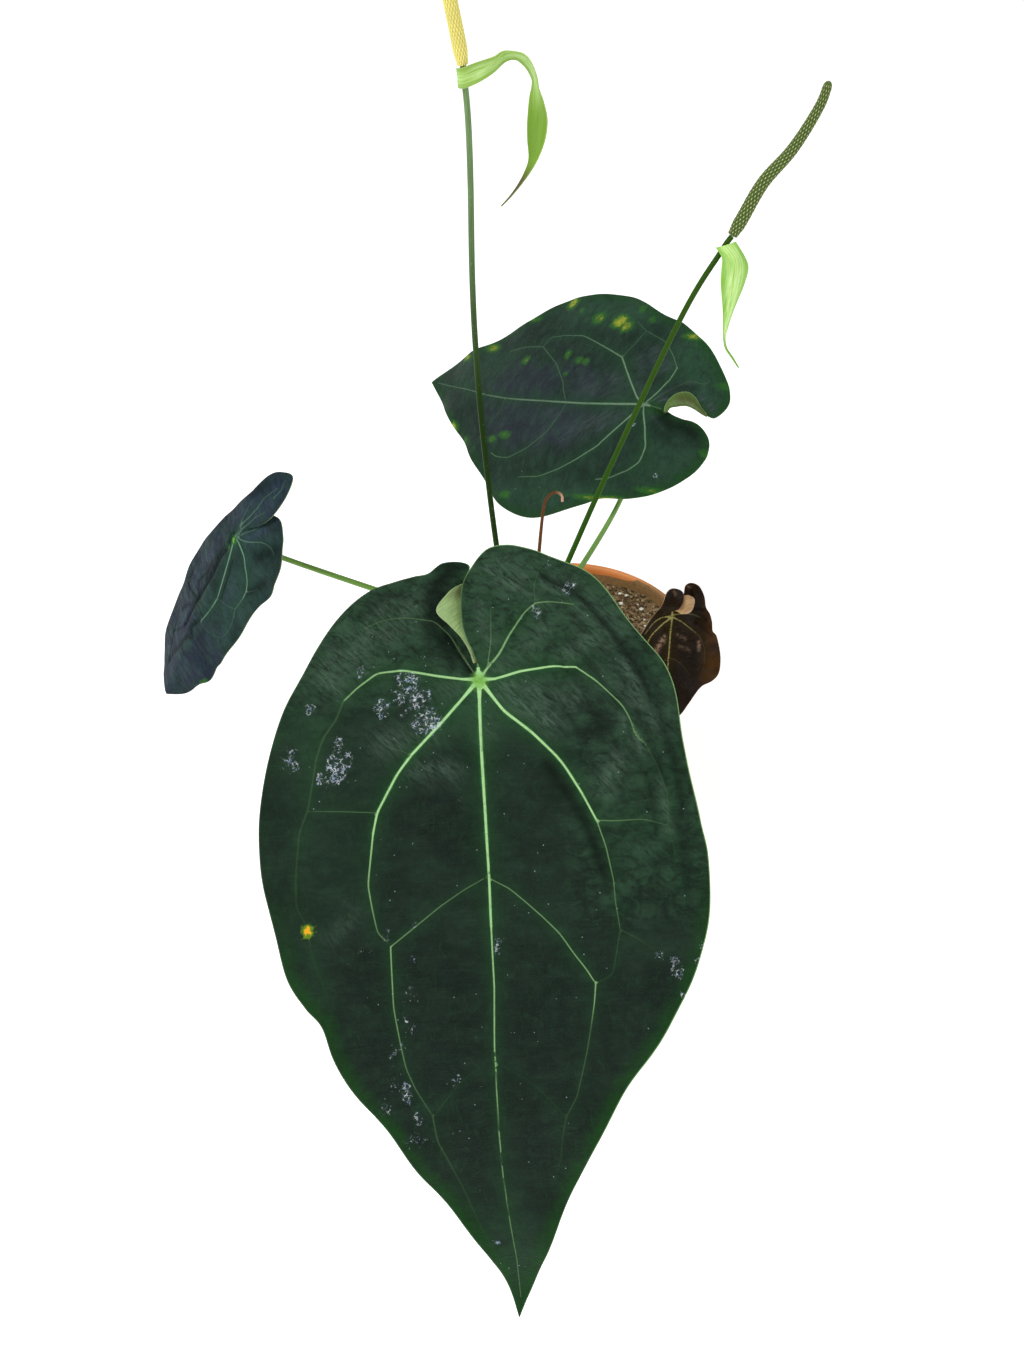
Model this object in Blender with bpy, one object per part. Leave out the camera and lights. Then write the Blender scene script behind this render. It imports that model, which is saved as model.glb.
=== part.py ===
"""Potted anthurium: a velvet-leaved plant with two flower stalks in a plain plastic pot.

Lengths below are in millimetres and angles in degrees; MM turns them into metres when a mesh is
made. The origin is the middle of the pot's base, +Z is up, and the large leaf hangs towards -Y.
"""

import math

import bpy
import numpy as np
from mathutils import Vector, geometry, kdtree

MM = 0.001
GAP = 0.3

# Pot
POT_HEIGHT = 135.0
RIM_RADIUS = 75.0
RIM_THICKNESS = 3.5
BASE_RADIUS = 52.0
WALL = 2.3
FLOOR = 2.8
COLLAR_HEIGHT = 15.0
COLLAR_STEP = 2.2
POT_SIDES = 40
DRAIN_HOLES = 8
DRAIN_RADIUS = 4.0
DRAIN_RING = 37.0
DRAIN_SIDES = 16

# Soil
SOIL_LEVEL = 121.5
SOIL_TILT = (0.08, 0.05)
SOIL_RINGS = 7

# Crown, the short stem that every stalk grows from
CROWN_AT = (-25.0, 3.0)
CROWN_FOOT = 80.0
CROWN_TOP = 141.0
CROWN_RADIUS = 13.0
CROWN_BULGE = 15.5
CROWN_SIDES = 20

# Blades
BLADE_THICKNESS = 0.8
RIM_STEP = 7.0
SINUS_STEP = 2.5
SINUS_REACH = 25.0
CURL_ROWS = 5
RIDGE_HEIGHT = 0.8
RIDGE_WIDTH = 1.5
QUILT_HEIGHT = 1.1
QUILT_REACH = 9.0
STALK_SIDES = 8
SOCKET_SIDES = 10
FOOT_SWELL = 0.5

# A leaf's outline is drawn flat: u runs from the stalk along the midrib to the tip, and v to the
# leaf's left. "plus" is the half with v above 0, "minus" the other, each from sinus to tip.
FRONT_LEAF = dict(
    at=(-48.8, -155.6, 262.8), heading=-85, slope=28, droop=12, lobe_droop=0, roll=0,
    fold=(6, 6), cup=(-6, -6), sway=-4, length=256,
    plus=[
        (-6, 0), (-9, 0.5), (-12, -1), (-16, -3.5), (-24, -5), (-38, -4), (-47, 0), (-54, 6.5),
        (-55.5, 14), (-54.5, 21.5), (-52, 30), (-44, 44), (-36, 52), (-22, 61), (-11, 68), (0, 74),
        (13, 78), (31, 80), (46, 81.5), (62, 84.5), (75, 87), (92, 86), (107, 83), (121.5, 78),
        (135.5, 68.5), (150, 58.5), (164.5, 47.5), (181, 36.5), (197, 28.5), (213, 19.5), (230, 12),
        (244, 6.5), (256, 0),
    ],
    minus=[
        (-6, 0), (-9, -0.5), (-12, 1.5), (-16, 6), (-22, 11), (-29, 14), (-36, 14), (-43, 11),
        (-48, 4), (-52, -4), (-51, -12), (-46.5, -18), (-45.5, -24), (-43.5, -32), (-39, -42),
        (-27.5, -54.5), (-16, -63.5), (-3.5, -70), (12, -77), (28, -82), (43, -84), (60, -84.5),
        (75, -83.5), (94, -78.5), (110, -75), (120.5, -69.5), (128, -63.5), (140, -59.5),
        (156, -52), (171.5, -40.5), (189.5, -30.5), (207.5, -19.5), (225.5, -9), (242, -3),
        (256, 0),
    ],
    veins=[
        [(0, 0), (14, 10), (30, 27), (47, 39), (58, 45), (82, 50), (101, 51), (110, 48), (120, 41)],
        [(58, 45), (60, 62), (64, 74)],
        [(101, 51), (107, 64), (111, 74)],
        [(0, 0), (-2, 16), (-3, 30), (-1, 41), (10, 52), (21, 59), (32, 66), (55, 74), (78, 76)],
        [(-3, 1), (-15, 11), (-24, 18), (-31, 24), (-31, 32), (-29, 40), (-22, 48)],
        [(-3, 0), (-15, 3), (-26, 6), (-38, 9)],
        [(-31, 24), (-44, 27)],
        [
            (79, 0), (88, 16), (96, 23), (107, 32), (120, 41), (138, 39), (155, 33), (171, 25),
            (197, 19), (218, 12),
        ],
        [(148, 0), (156, 12), (171, 25)],
        [(0, 0), (19, -18), (29, -29), (42, -36), (51, -41), (75, -44), (93, -42), (101, -37)],
        [(51, -41), (49, -54), (48, -68)],
        [
            (0, 0), (-3, -18), (-5, -30), (-4, -41), (6, -53), (21, -61), (38, -65), (61, -69),
            (85, -70), (105, -65), (121, -62),
        ],
        [(-3, -1), (-10, -8), (-18, -11), (-25, -16), (-28, -23), (-27, -39), (-19, -48)],
        [
            (78, 0), (87, -20), (94, -28), (101, -37), (124, -37), (138, -35), (150, -32),
            (166, -25), (182, -21), (200, -15), (216, -9),
        ],
        [(147, 0), (152, -10), (159, -18), (166, -25)],
    ],
    curl=dict(side=-1, start=(-7, -1), end=(-54, -3.3), radius=2.0, turn=160, ease=1.0),
    over=1, lift=3.2, wave=(1.8, 9, 0.4), step=12,
)
REAR_LEAF = dict(
    at=(41.7, 92.7, 238.4), heading=146.5, slope=10, droop=14, lobe_droop=40, roll=-52,
    fold=(9, -22), cup=(-2, -2), sway=7, length=200,
    plus=[
        (-5, 0), (-8, 0.5), (-13, 1), (-18.5, 1.5), (-26.5, 2.5), (-37, 4.5), (-42.5, 11),
        (-45, 18), (-44.5, 25), (-41, 32.5), (-35, 39.5), (-28, 46), (-18.5, 52.5), (-5, 57),
        (9, 58), (19.5, 63), (34.5, 70), (48, 73.5), (60, 74), (72, 71), (84, 65.5), (97, 57.5),
        (110.5, 47.5), (125, 37.5), (144, 28.5), (160.5, 18.5), (182, 10.5), (200, 0),
    ],
    minus=[
        (-5, 0), (-8, -0.5), (-13, 4), (-18, 7), (-24, 8), (-30, 6), (-36, 3), (-42, 1), (-47, -1),
        (-49, -6), (-49, -12), (-46, -21), (-37.5, -32.5), (-27, -43.5), (-15, -51), (-1.5, -58),
        (14, -64), (30, -72.5), (45.5, -78.5), (63, -80.5), (79, -79), (93.5, -77.5),
        (107.5, -71.5), (119.5, -59), (138, -49), (153, -37.5), (170.5, -28.5), (187, -18),
        (200, 0),
    ],
    veins=[
        [(0, 0), (8, 8), (22, 25), (35, 35), (52, 45), (72, 49), (90, 47)],
        [(0, 1), (-6, 19), (-7, 34), (-1, 41), (12, 46)],
        [(54, 0), (61, 16), (72, 30), (86, 37), (104, 34), (122, 27)],
        [(106, 0), (114, 10), (122, 27)],
        [(-3, 1), (-14, 10), (-24, 18), (-30, 28)],
        [(0, 0), (7, -6), (30, -33), (47, -43), (66, -48), (93, -48), (99, -41)],
        [(0, -1), (-9, -15), (-11, -27), (-3, -38), (19, -51), (38, -60)],
        [(55, 0), (60, -12), (75, -24), (94, -40), (119, -35), (138, -26)],
        [(108, 0), (120, -12), (138, -26)],
        [(-3, -1), (-16, -8), (-28, -14), (-34, -22)],
    ],
    curl=dict(side=-1, start=(-6, -1), end=(-40, -3), radius=1.8, turn=150, ease=0.35),
    over=-1, lift=1.6, wave=(2.0, 7, 1.3), step=11,
)
LEFT_LEAF = dict(
    at=(-183.8, -7.0, 218.6), heading=-166, slope=57, droop=9, lobe_droop=30, roll=-30,
    fold=(-5, -21), cup=(0, 0), sway=8, length=127,
    plus=[
        (-4, 0), (-8, 1), (-13, 4), (-20, 8), (-26, 14), (-28, 20), (-23, 25.5), (-18, 29),
        (-9, 36), (5, 37), (17.5, 31.5), (29, 30.5), (43.5, 24.5), (58, 22.5), (68, 21.5),
        (75, 19.5), (86, 20), (95.5, 15.5), (113, 10), (127, 0),
    ],
    minus=[
        (-4, 0), (-7, -0.5), (-10, 2), (-14, 7), (-22, 13.5), (-32, 17), (-43, 16.5), (-51.5, 12),
        (-49, 5.5), (-43, 1), (-28, -3.5), (-11.5, -12.5), (13, -24.5), (29.5, -34.5), (47, -39),
        (61, -37.5), (77, -40.5), (94.5, -37), (111.5, -32), (125, -19), (127, 0),
    ],
    veins=[
        [(0, 0), (2, 8), (8, 19), (18, 26), (28, 28), (40, 28), (52, 22)],
        [(0, 1), (-6, 11), (-13, 18), (-17, 24), (-10, 30)],
        [(40, 0), (46, 8), (52, 22)],
        [(0, 0), (10, -8), (24, -17), (40, -24), (52, -26)],
        [(40, 0), (50, -10), (62, -18), (82, -20)],
        [(-3, 0), (-16, 1), (-30, 4), (-40, 5)],
        [(-2, -1), (-12, -4), (-24, -3)],
        [(70, 0), (80, -8), (92, -14)],
    ],
    curl=None, over=-1, lift=3.0, wave=(2.2, 6, 2.2), step=10,
)
YOUNG_LEAF = dict(
    at=(49.2, -38.4, 191.1), heading=-93, slope=52, droop=15, lobe_droop=10, roll=0,
    fold=(-8, 4), cup=(-10, -10), sway=0, length=62,
    plus=[
        (-2, 0), (-4, 0.5), (-7, 0), (-10, -3), (-14, -3), (-15, 2), (-18, 7), (-18, 12.5),
        (-12.5, 18), (-6, 19.5), (3, 22.5), (12, 25.5), (20, 28), (28, 28), (35, 25), (39, 18),
        (47, 12.5), (54.5, 8), (62, 0),
    ],
    minus=[
        (-2, 0), (-4, -0.5), (-7, 1), (-10, 4), (-13, 3), (-14, -1), (-11, -4), (-5, -7), (4, -13), (14, -18),
        (25, -22), (36, -20), (46, -14), (55, -6), (62, 0),
    ],
    veins=[
        [(0, 0), (6, 6), (12, 13), (22, 19), (34, 20)],
        [(0, 1), (-2, 8), (2, 15)],
        [(20, 0), (26, 7), (34, 12), (42, 12)],
        [(0, 0), (5, -5), (12, -10), (23, -14), (33, -14)],
        [(0, -1), (-4, -4), (2, -9)],
        [(20, 0), (27, -6), (36, -9)],
    ],
    curl=None, over=-1, lift=1.8, wave=(1.6, 5, 0.9), step=7,
)

# Stalks: points of each centre line, from its socket in the crown, with its radius at each end.
# A leaf stalk's last point is worked out from its blade.
FRONT_STALK = [(-27, -7, 130), (-28.5, -12, 150), (-34, -36, 205), (-41, -76, 240), (-46, -122, 252)]
REAR_STALK = [
    (-18, 9, 130), (-12, 15, 149), (5.7, 29, 169.7), (30.5, 74, 184), (40, 99, 204), (42.3, 99, 224),
]
LEFT_STALK = [(-33, -3, 130), (-42, -4, 146), (-75, -4, 163), (-111, -4.5, 179.5), (-160, -3.5, 201.6)]
YOUNG_STALK = [(-17, -4, 130), (-8, -11, 139), (15, -21, 146), (36, -32.5, 158), (46.5, -35, 176)]
LEFT_PEDUNCLE = [
    (-34, 4, 130), (-37.8, 4, 160), (-44, 4, 204), (-49.9, 4, 271.5), (-52.5, 4, 320), (-53.2, 4, 355),
    (-52.8, 4, 395), (-53.1, 4, 420), (-54.5, 4, 438.2),
]
RIGHT_PEDUNCLE = [
    (-23, 5, 130), (-16, 4.5, 155), (-3.9, 4, 195), (14, 3, 254), (40.7, 1, 336.5), (54.6, 0, 368),
    (58.2, 0, 374.5),
]
SPROUT = [
    (-25, 0, 130), (-23, 1.5, 150), (-20.7, 4, 199), (-18.7, 6, 228), (-15.9, 9.5, 233.6),
    (-12.2, 10.4, 235.2), (-9.2, 9.2, 234.2), (-8.8, 6.5, 232),
]

# Spadices: centre lines that start just above the stalks
LEFT_SPADIX = [
    (-54.6, 4, 438.6), (-56.2, 4, 448), (-58.6, 4, 460), (-62.6, 3.5, 480), (-66.4, 3, 497), (-68, 3, 508),
]
RIGHT_SPADIX = [
    (58.5, 0, 375.2), (61.5, 0, 382), (67.8, 0, 396.5), (77.4, 0, 409.5), (84.7, 0, 424.7), (86.7, 0, 434),
]
SPADIX_RADIUS = 2.7
SPADIX_SIDES = 12
SPADIX_RINGS = 40
FLORET_RELIEF = 0.35

# Spathes: stations of (centre, half width vector, camber), from the collar to the tail's end
LEFT_SPATHE = [
    ((-53.4, 6.4, 433.4), (-0.2, 0, 3.2), 0.0), ((-56.8, 4.6, 433.8), (-0.2, 0, 3.4), 0.0),
    ((-54.4, 1.4, 434.6), (-0.3, 0, 3.6), 0.0), ((-49, 0, 436.8), (-0.3, 0, 3.5), 0.6),
    ((-42.8, -1, 439.6), (0.1, -1, 3.1), 1.0), ((-38.6, -2, 442.7), (-0.5, -1.5, 2.2), 1.0),
    ((-34.9, -3, 443.4), (-0.3, -2, 1.9), 0.9), ((-31.6, -4, 442.6), (0.5, -3, 2.3), 0.8),
    ((-29.1, -5, 440.4), (0.8, -4, 2.2), 0.8), ((-27.2, -6, 436.6), (0.8, -4.4, 1.6), 0.9),
    ((-26.8, -6, 433.2), (1.3, -4, 1.0), 1.0), ((-26.3, -6, 429.1), (2.7, -3, 0.5), 1.2),
    ((-25.8, -6, 421.7), (3.9, -2, 0.9), 1.4), ((-26.1, -5.5, 414.6), (3.5, -1.5, 0.5), 1.2),
    ((-27.1, -5, 407.7), (1.9, -1.5, 0.4), 0.8), ((-29.4, -5, 402.6), (0.9, -0.9, -0.3), 0.3),
    ((-32.6, -5, 397.6), (0.4, -0.5, -0.3), 0.0), ((-36.4, -5, 392.9), (0.2, -0.3, -0.2), 0.0),
    ((-40.1, -5, 389.1), (0.1, -0.2, -0.1), 0.0),
]
RIGHT_SPATHE = [
    ((56.0, -1.2, 371.6), (-4.0, 0.3, -1.4), 0.9), ((59.6, -2.9, 367), (-5.0, -0.6, 0), 1.4),
    ((60.8, -4.2, 362.6), (-6.1, -1.4, 0.4), 1.8), ((60.7, -4.4, 356.4), (-5.6, -1.5, 1.4), 1.8),
    ((60.7, -4, 349.4), (-4.1, -1.5, 1.4), 1.4), ((60.8, -3.4, 342.2), (-2.5, -1.2, 1.2), 0.9),
    ((61, -2.8, 335.3), (-1.4, -0.8, 0.7), 0.5), ((61.4, -2.3, 329.4), (-0.6, -0.5, 0.1), 0.2),
    ((63, -2, 324.3), (-0.4, -0.2, -0.2), 0.0), ((66.6, -2, 319.6), (-0.3, -0.1, -0.3), 0.0),
    ((70.3, -2, 314.5), (-0.2, -0.1, -0.2), 0.0),
]
SPATHE_THICKNESS = 0.7
SPATHE_STEP = 3.2


def clear_scene():
    for obj in list(bpy.data.objects):
        bpy.data.objects.remove(obj, do_unlink=True)


def make_material(name, colour, roughness, metallic=0.0):
    material = bpy.data.materials.new(name)
    material.use_nodes = True
    shader = material.node_tree.nodes["Principled BSDF"]
    shader.inputs["Base Color"].default_value = (*colour, 1.0)
    shader.inputs["Roughness"].default_value = roughness
    shader.inputs["Metallic"].default_value = metallic
    material.diffuse_color = (*colour, 1.0)
    return material


def make_object(name, points, faces, material=None, smooth=60.0):
    """One named object from points in millimetres, shaded smooth apart from its sharp edges."""
    mesh = bpy.data.meshes.new(name)
    corners = [tuple(float(x) * MM for x in point) for point in points]
    mesh.from_pydata(corners, [], [[int(corner) for corner in face] for face in faces])
    mesh.validate()
    mesh.shade_smooth()
    mesh.set_sharp_from_angle(angle=math.radians(smooth))
    if material:
        mesh.materials.append(material)
    obj = bpy.data.objects.new(name, mesh)
    bpy.context.scene.collection.objects.link(obj)
    return obj


def cut(obj, cutters):
    """Takes each cutter out of the object. The cutters stay in the file as hidden helpers."""
    for cutter in cutters:
        cutter.hide_render = True
        cutter.display_type = "WIRE"
        modifier = obj.modifiers.new(cutter.name, "BOOLEAN")
        modifier.operation = "DIFFERENCE"
        modifier.solver = "EXACT"
        modifier.object = cutter


def smooth_line(points, step):
    """Points about one step apart on a smooth curve through the given ones."""
    points = np.array(points, float)
    ends = np.vstack([2 * points[0] - points[1], points, 2 * points[-1] - points[-2]])
    dense = []
    for i in range(1, len(ends) - 2):
        before, start, end, after = ends[i - 1 : i + 3]
        for t in np.linspace(0, 1, 16, endpoint=False):
            bend = 2 * before - 5 * start + 4 * end - after
            twist = 3 * start - before - 3 * end + after
            dense.append(start + 0.5 * t * ((end - before) + t * (bend + t * twist)))
    dense.append(points[-1])
    return even_line(np.array(dense), step)


def even_line(line, step):
    travelled = np.concatenate([[0], np.cumsum(np.linalg.norm(np.diff(line, axis=0), axis=1))])
    count = max(2, int(round(travelled[-1] / step)) + 1)
    wanted = np.linspace(0, travelled[-1], count)
    return np.stack([np.interp(wanted, travelled, column) for column in line.T], axis=1)


def smooth_step(x):
    x = np.clip(x, 0, 1)
    return x * x * (3 - 2 * x)


def line_distance(points, line):
    """Distance of each flat point to a polyline, and how far along the line its nearest place is."""
    best = np.full(len(points), 1e9)
    along = np.zeros(len(points))
    travelled = 0.0
    for start, end in zip(line[:-1], line[1:]):
        run = end - start
        length = np.linalg.norm(run)
        t = np.clip((points - start) @ run / length**2, 0, 1)
        distance = np.linalg.norm(points - start - t[:, None] * run, axis=1)
        nearer = distance < best
        best = np.where(nearer, distance, best)
        along = np.where(nearer, travelled + t * length, along)
        travelled += length
    return best, along


def inside(points, loop):
    """Whether each flat point lies inside a closed loop."""
    hit = np.zeros(len(points), bool)
    for (ax, ay), (bx, by) in zip(loop, np.roll(loop, -1, axis=0)):
        spans = (ay > points[:, 1]) != (by > points[:, 1])
        slope = (bx - ax) / (by - ay) if by != ay else 0.0
        hit ^= spans & (points[:, 0] < ax + (points[:, 1] - ay) * slope)
    return hit


def rim_line(outline):
    """A half's outline as a polyline, in short steps near the sinus and longer ones after it."""
    line = smooth_line(outline, 0.5)
    travelled = np.concatenate([[0], np.cumsum(np.linalg.norm(np.diff(line, axis=0), axis=1))])
    reach = min(SINUS_REACH, travelled[-1] / 6)
    near = np.arange(0, reach, SINUS_STEP)
    far = np.linspace(reach, travelled[-1], int((travelled[-1] - reach) / RIM_STEP))
    wanted = np.concatenate([near, far])
    return np.stack([np.interp(wanted, travelled, column) for column in line.T], axis=1)


def vein_lines(leaf, step):
    midrib = np.array([(leaf["plus"][0][0], 0.0), (leaf["length"] * 0.97, 0.0)])
    return [even_line(midrib, step)] + [smooth_line(vein, step) for vein in leaf["veins"]]


def blade_height(leaf, points, half):
    """Relief of the blade: vein ridges, the quilting between them, and the waved edge."""
    veins = vein_lines(leaf, 4.0)
    height = np.zeros(len(points))
    nearest = np.full(len(points), 1e9)
    for number, line in enumerate(veins):
        distance, along = line_distance(points, line)
        total = np.linalg.norm(np.diff(line, axis=0), axis=1).sum()
        strength = (1.0 if number == 0 else 0.8) * (1 - 0.6 * along / total)
        ridge = RIDGE_HEIGHT * strength * (1 - smooth_step(distance / RIDGE_WIDTH))
        height = np.maximum(height, ridge)
        nearest = np.minimum(nearest, distance)
    scale = min(1.0, leaf["length"] / 150)
    height += scale * QUILT_HEIGHT * (1 - np.exp(-nearest / (scale * QUILT_REACH)))
    edge, along = line_distance(points, half)
    size, count, phase = leaf["wave"]
    total = np.linalg.norm(np.diff(half, axis=0), axis=1).sum()
    swing = np.sin(2 * math.pi * count * along / total + phase)
    swing *= smooth_step(np.abs(points[:, 1]) / (0.12 * leaf["length"]) + np.maximum(points[:, 0], 0))
    return height + size * np.exp(-edge / (0.06 * leaf["length"] + 4)) * swing


def lobe_lift(leaf, points, side):
    """The basal lobes meet over the sinus: one lies above the other."""
    behind = smooth_step((leaf["plus"][0][0] - points[:, 0]) / (0.035 * leaf["length"] + 1))
    own = np.maximum(side * points[:, 1], 0)
    return side * leaf["over"] * leaf["lift"] * behind * np.exp(-((own / 28) ** 2))


def crease(curl):
    """Where a rolled margin's crease starts, which way it runs, and which way lies past it."""
    start = np.array(curl["start"], float)
    run = np.array(curl["end"], float) - start
    length = np.linalg.norm(run)
    run /= length
    past = np.array([-run[1], run[0]])
    return start, run, -past if past[1] * curl["side"] > 0 else past, length


def roll_turn(curl, along, length):
    """How far the margin rolls over, which may ease off before the crease ends."""
    ease = smooth_step((along / length - curl["ease"]) / (1.01 - curl["ease"]))
    return math.radians(curl["turn"]) * (1 - ease)


def curl_rows(curl, step):
    """Rows of flat points along the crease, close enough for the roll to come out round."""
    start, run, past, length = crease(curl)
    along = np.linspace(0, length, int(length / step) + 1)
    foot = start + along[:, None] * run
    reach = curl["radius"] * math.radians(curl["turn"])
    return [foot + beyond * past for beyond in np.linspace(0, reach, CURL_ROWS)]


def roll_margin(leaf, points, relief, side):
    """Rolls what lies past the crease line up and back over the blade, to show its underside."""
    curl = leaf["curl"]
    if not curl or curl["side"] != side:
        return points, relief
    start, run, past, length = crease(curl)
    beyond = (points - start) @ past
    radius = curl["radius"]
    most = roll_turn(curl, (points - start) @ run, length)
    turn = np.clip(beyond / radius, 0, most)
    rest = np.maximum(beyond - radius * most, 0)
    reach = radius * np.sin(turn) + rest * np.cos(most)
    rise = radius * (1 - np.cos(turn)) + rest * np.sin(most)
    rolled = (beyond > 0) & (points[:, 0] < start[0])
    foot = points - beyond[:, None] * past
    moved = np.where(rolled[:, None], foot + reach[:, None] * past, points)
    # The sheet's own relief fades out as it turns over.
    kept = np.cos(np.minimum(turn, math.pi / 2))
    return moved, np.where(rolled, relief * kept + rise, relief)


def bend(length, start, rate):
    """Where a line of this length ends when it starts at an angle and turns at a steady rate."""
    rate = np.where(np.abs(rate) < 1e-6, 1e-6, rate)
    across = (np.sin(start + rate * length) - np.sin(start)) / rate
    down = (np.cos(start) - np.cos(start + rate * length)) / rate
    return across, down


def blade_points(leaf, points, height):
    """Flat points with their height, bent and turned into the leaf's place."""
    u = points[:, 0]
    v = points[:, 1] + leaf["sway"] * np.sin(math.pi * np.clip(u / leaf["length"], 0, 1))
    slope = math.radians(leaf["slope"])
    droop = math.radians(leaf["droop"]) / 100
    lobe_droop = math.radians(leaf["lobe_droop"]) / 100
    tip_x, tip_z = bend(np.maximum(u, 0), slope, droop)
    lobe_x, lobe_z = bend(np.minimum(u, 0), slope, lobe_droop)
    angle = slope + np.where(u > 0, droop, lobe_droop) * u
    side = np.where(v > 0, 0, 1)
    fold = np.radians(np.array(leaf["fold"], float))[side]
    cup = np.radians(np.array(leaf["cup"], float))[side] / 100
    across, rise = bend(np.abs(v), fold, cup)
    rise = rise * (1 - np.exp(-np.abs(v) / 3)) + height
    forward = tip_x + lobe_x + rise * np.sin(angle)
    local = np.stack([forward, np.sign(v) * across, rise * np.cos(angle) - tip_z - lobe_z], axis=1)
    axis = np.array([math.cos(slope), 0, -math.sin(slope)])
    roll = math.radians(leaf["roll"])
    local = (
        local * math.cos(roll)
        + np.cross(axis, local) * math.sin(roll)
        + np.outer(local @ axis, axis) * (1 - math.cos(roll))
    )
    heading = math.radians(leaf["heading"])
    ahead = np.array([math.cos(heading), math.sin(heading), 0])
    left = np.array([-math.sin(heading), math.cos(heading), 0])
    return local @ np.array([ahead, left, (0, 0, 1)]) + np.array(leaf["at"])


def keep_apart(kept, extra, spacing):
    """Those of the extra points that lie at least the spacing from every kept one."""
    tree = kdtree.KDTree(len(kept))
    for number, (x, y) in enumerate(kept):
        tree.insert((x, y, 0), number)
    tree.balance()
    return [p for p in extra if tree.find((p[0], p[1], 0))[2] >= spacing]


def half_mesh(leaf, side):
    """One half of the blade, cut into triangles: its flat points, and the triangles over them."""
    midrib = even_line(np.array([leaf["plus"][0], (leaf["length"], 0)], float), RIM_STEP)
    rim = rim_line(leaf["plus" if side > 0 else "minus"])
    loop = np.vstack([midrib, rim[-2:0:-1]])
    border_line = np.vstack([loop, loop[:1]])
    step = leaf["step"]
    points = [tuple(p) for p in loop]
    if leaf["curl"] and leaf["curl"]["side"] == side:
        rows = np.vstack(curl_rows(leaf["curl"], 0.4 * step))
        rows = rows[inside(rows, loop)]
        points += [tuple(p) for p in rows[line_distance(rows, border_line)[0] > 0.6]]
    for number, line in enumerate(vein_lines(leaf, step)):
        tangent = np.gradient(line, axis=0)
        tangent /= np.linalg.norm(tangent, axis=1)[:, None]
        across = np.stack([-tangent[:, 1], tangent[:, 0]], axis=1)
        rows = [line + across * RIDGE_WIDTH, line - across * RIDGE_WIDTH]
        rows = rows if number == 0 else [line] + rows
        for row in rows:
            row = row[inside(row, loop)]
            if len(row):
                clear = line_distance(row, border_line)[0] > 0.8 * RIDGE_WIDTH
                points += keep_apart(points, [tuple(p) for p in row[clear]], 0.9 * RIDGE_WIDTH)
    low, high = loop.min(axis=0), loop.max(axis=0)
    rows = np.arange(low[1], high[1], step * 0.87)
    columns = np.arange(low[0], high[0], step)
    grid = np.array([(x + (i % 2) * step / 2, y) for i, y in enumerate(rows) for x in columns])
    grid = grid[inside(grid, loop)]
    points += keep_apart(points, [tuple(p) for p in grid], 0.6 * step)
    border = [(i, (i + 1) % len(loop)) for i in range(len(loop))]
    flat, _, faces, _, _, _ = geometry.delaunay_2d_cdt([Vector(p) for p in points], border, [], 1, 1e-5)
    flat = np.array([tuple(p) for p in flat])
    return flat, blade_height(leaf, flat, rim), faces


def solid_sheet(points, faces, thickness):
    """A sheet's points and triangles, given a thickness with the same triangles on both faces."""
    faces = np.array(faces)
    corners = points[faces]
    facing = np.cross(corners[:, 1] - corners[:, 0], corners[:, 2] - corners[:, 0])
    normals = np.zeros_like(points)
    for corner in range(3):
        np.add.at(normals, faces[:, corner], facing)
    normals /= np.linalg.norm(normals, axis=1)[:, None]
    count = len(points)
    both = np.vstack([points + normals * thickness / 2, points - normals * thickness / 2])
    edges = {}
    for a, b, c in faces:
        for edge in ((a, b), (b, c), (c, a)):
            edges[edge] = True
    border = [(a, b) for a, b in edges if (b, a) not in edges]
    sides = [(b, a, a + count, b + count) for a, b in border]
    return both, [tuple(f) for f in faces] + [tuple(f[::-1] + count) for f in faces] + sides


def make_blade(name, leaf, material):
    merged = {}
    points, faces = [], []
    for side in (1, -1):
        flat, relief, triangles = half_mesh(leaf, side)
        moved, height = roll_margin(leaf, flat, relief, side)
        placed = blade_points(leaf, moved, height + lobe_lift(leaf, flat, side))
        index = []
        for place, (u, v) in zip(placed, flat):
            on_midrib = abs(v) < 1e-4 and u > leaf["plus"][0][0] - 1e-4
            key = round(u, 3) if on_midrib else None
            if key is None or key not in merged:
                points.append(place)
                if key is not None:
                    merged[key] = len(points) - 1
            index.append(merged[key] if key is not None else len(points) - 1)
        faces += [[index[i] for i in triangle] for triangle in triangles]
    solid, sides = solid_sheet(np.array(points), faces, BLADE_THICKNESS)
    return make_object(name, solid, sides, material)


def blade_seat(leaf):
    """Where a stalk meets the blade's underside, and the blade's normal there."""
    probe = np.array([(0.0, 0.0), (3.0, 0.0), (0.0, 3.0), (0.0, -3.0)])
    middle, ahead, left, right = blade_points(leaf, probe, np.zeros(len(probe)))
    normal = np.cross(ahead - middle, left - right)
    normal /= np.linalg.norm(normal)
    return middle, normal


def frames(line):
    """A pair of directions across the line at each of its points, with no twist between them."""
    tangents = np.gradient(line, axis=0)
    tangents /= np.linalg.norm(tangents, axis=1)[:, None]
    first = np.cross(tangents[0], (0.0, 1.0, 0.0))
    first /= np.linalg.norm(first)
    pairs = []
    for tangent in tangents:
        first = first - tangent * (first @ tangent)
        first /= np.linalg.norm(first)
        pairs.append((first.copy(), np.cross(tangent, first)))
    return tangents, pairs


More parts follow.
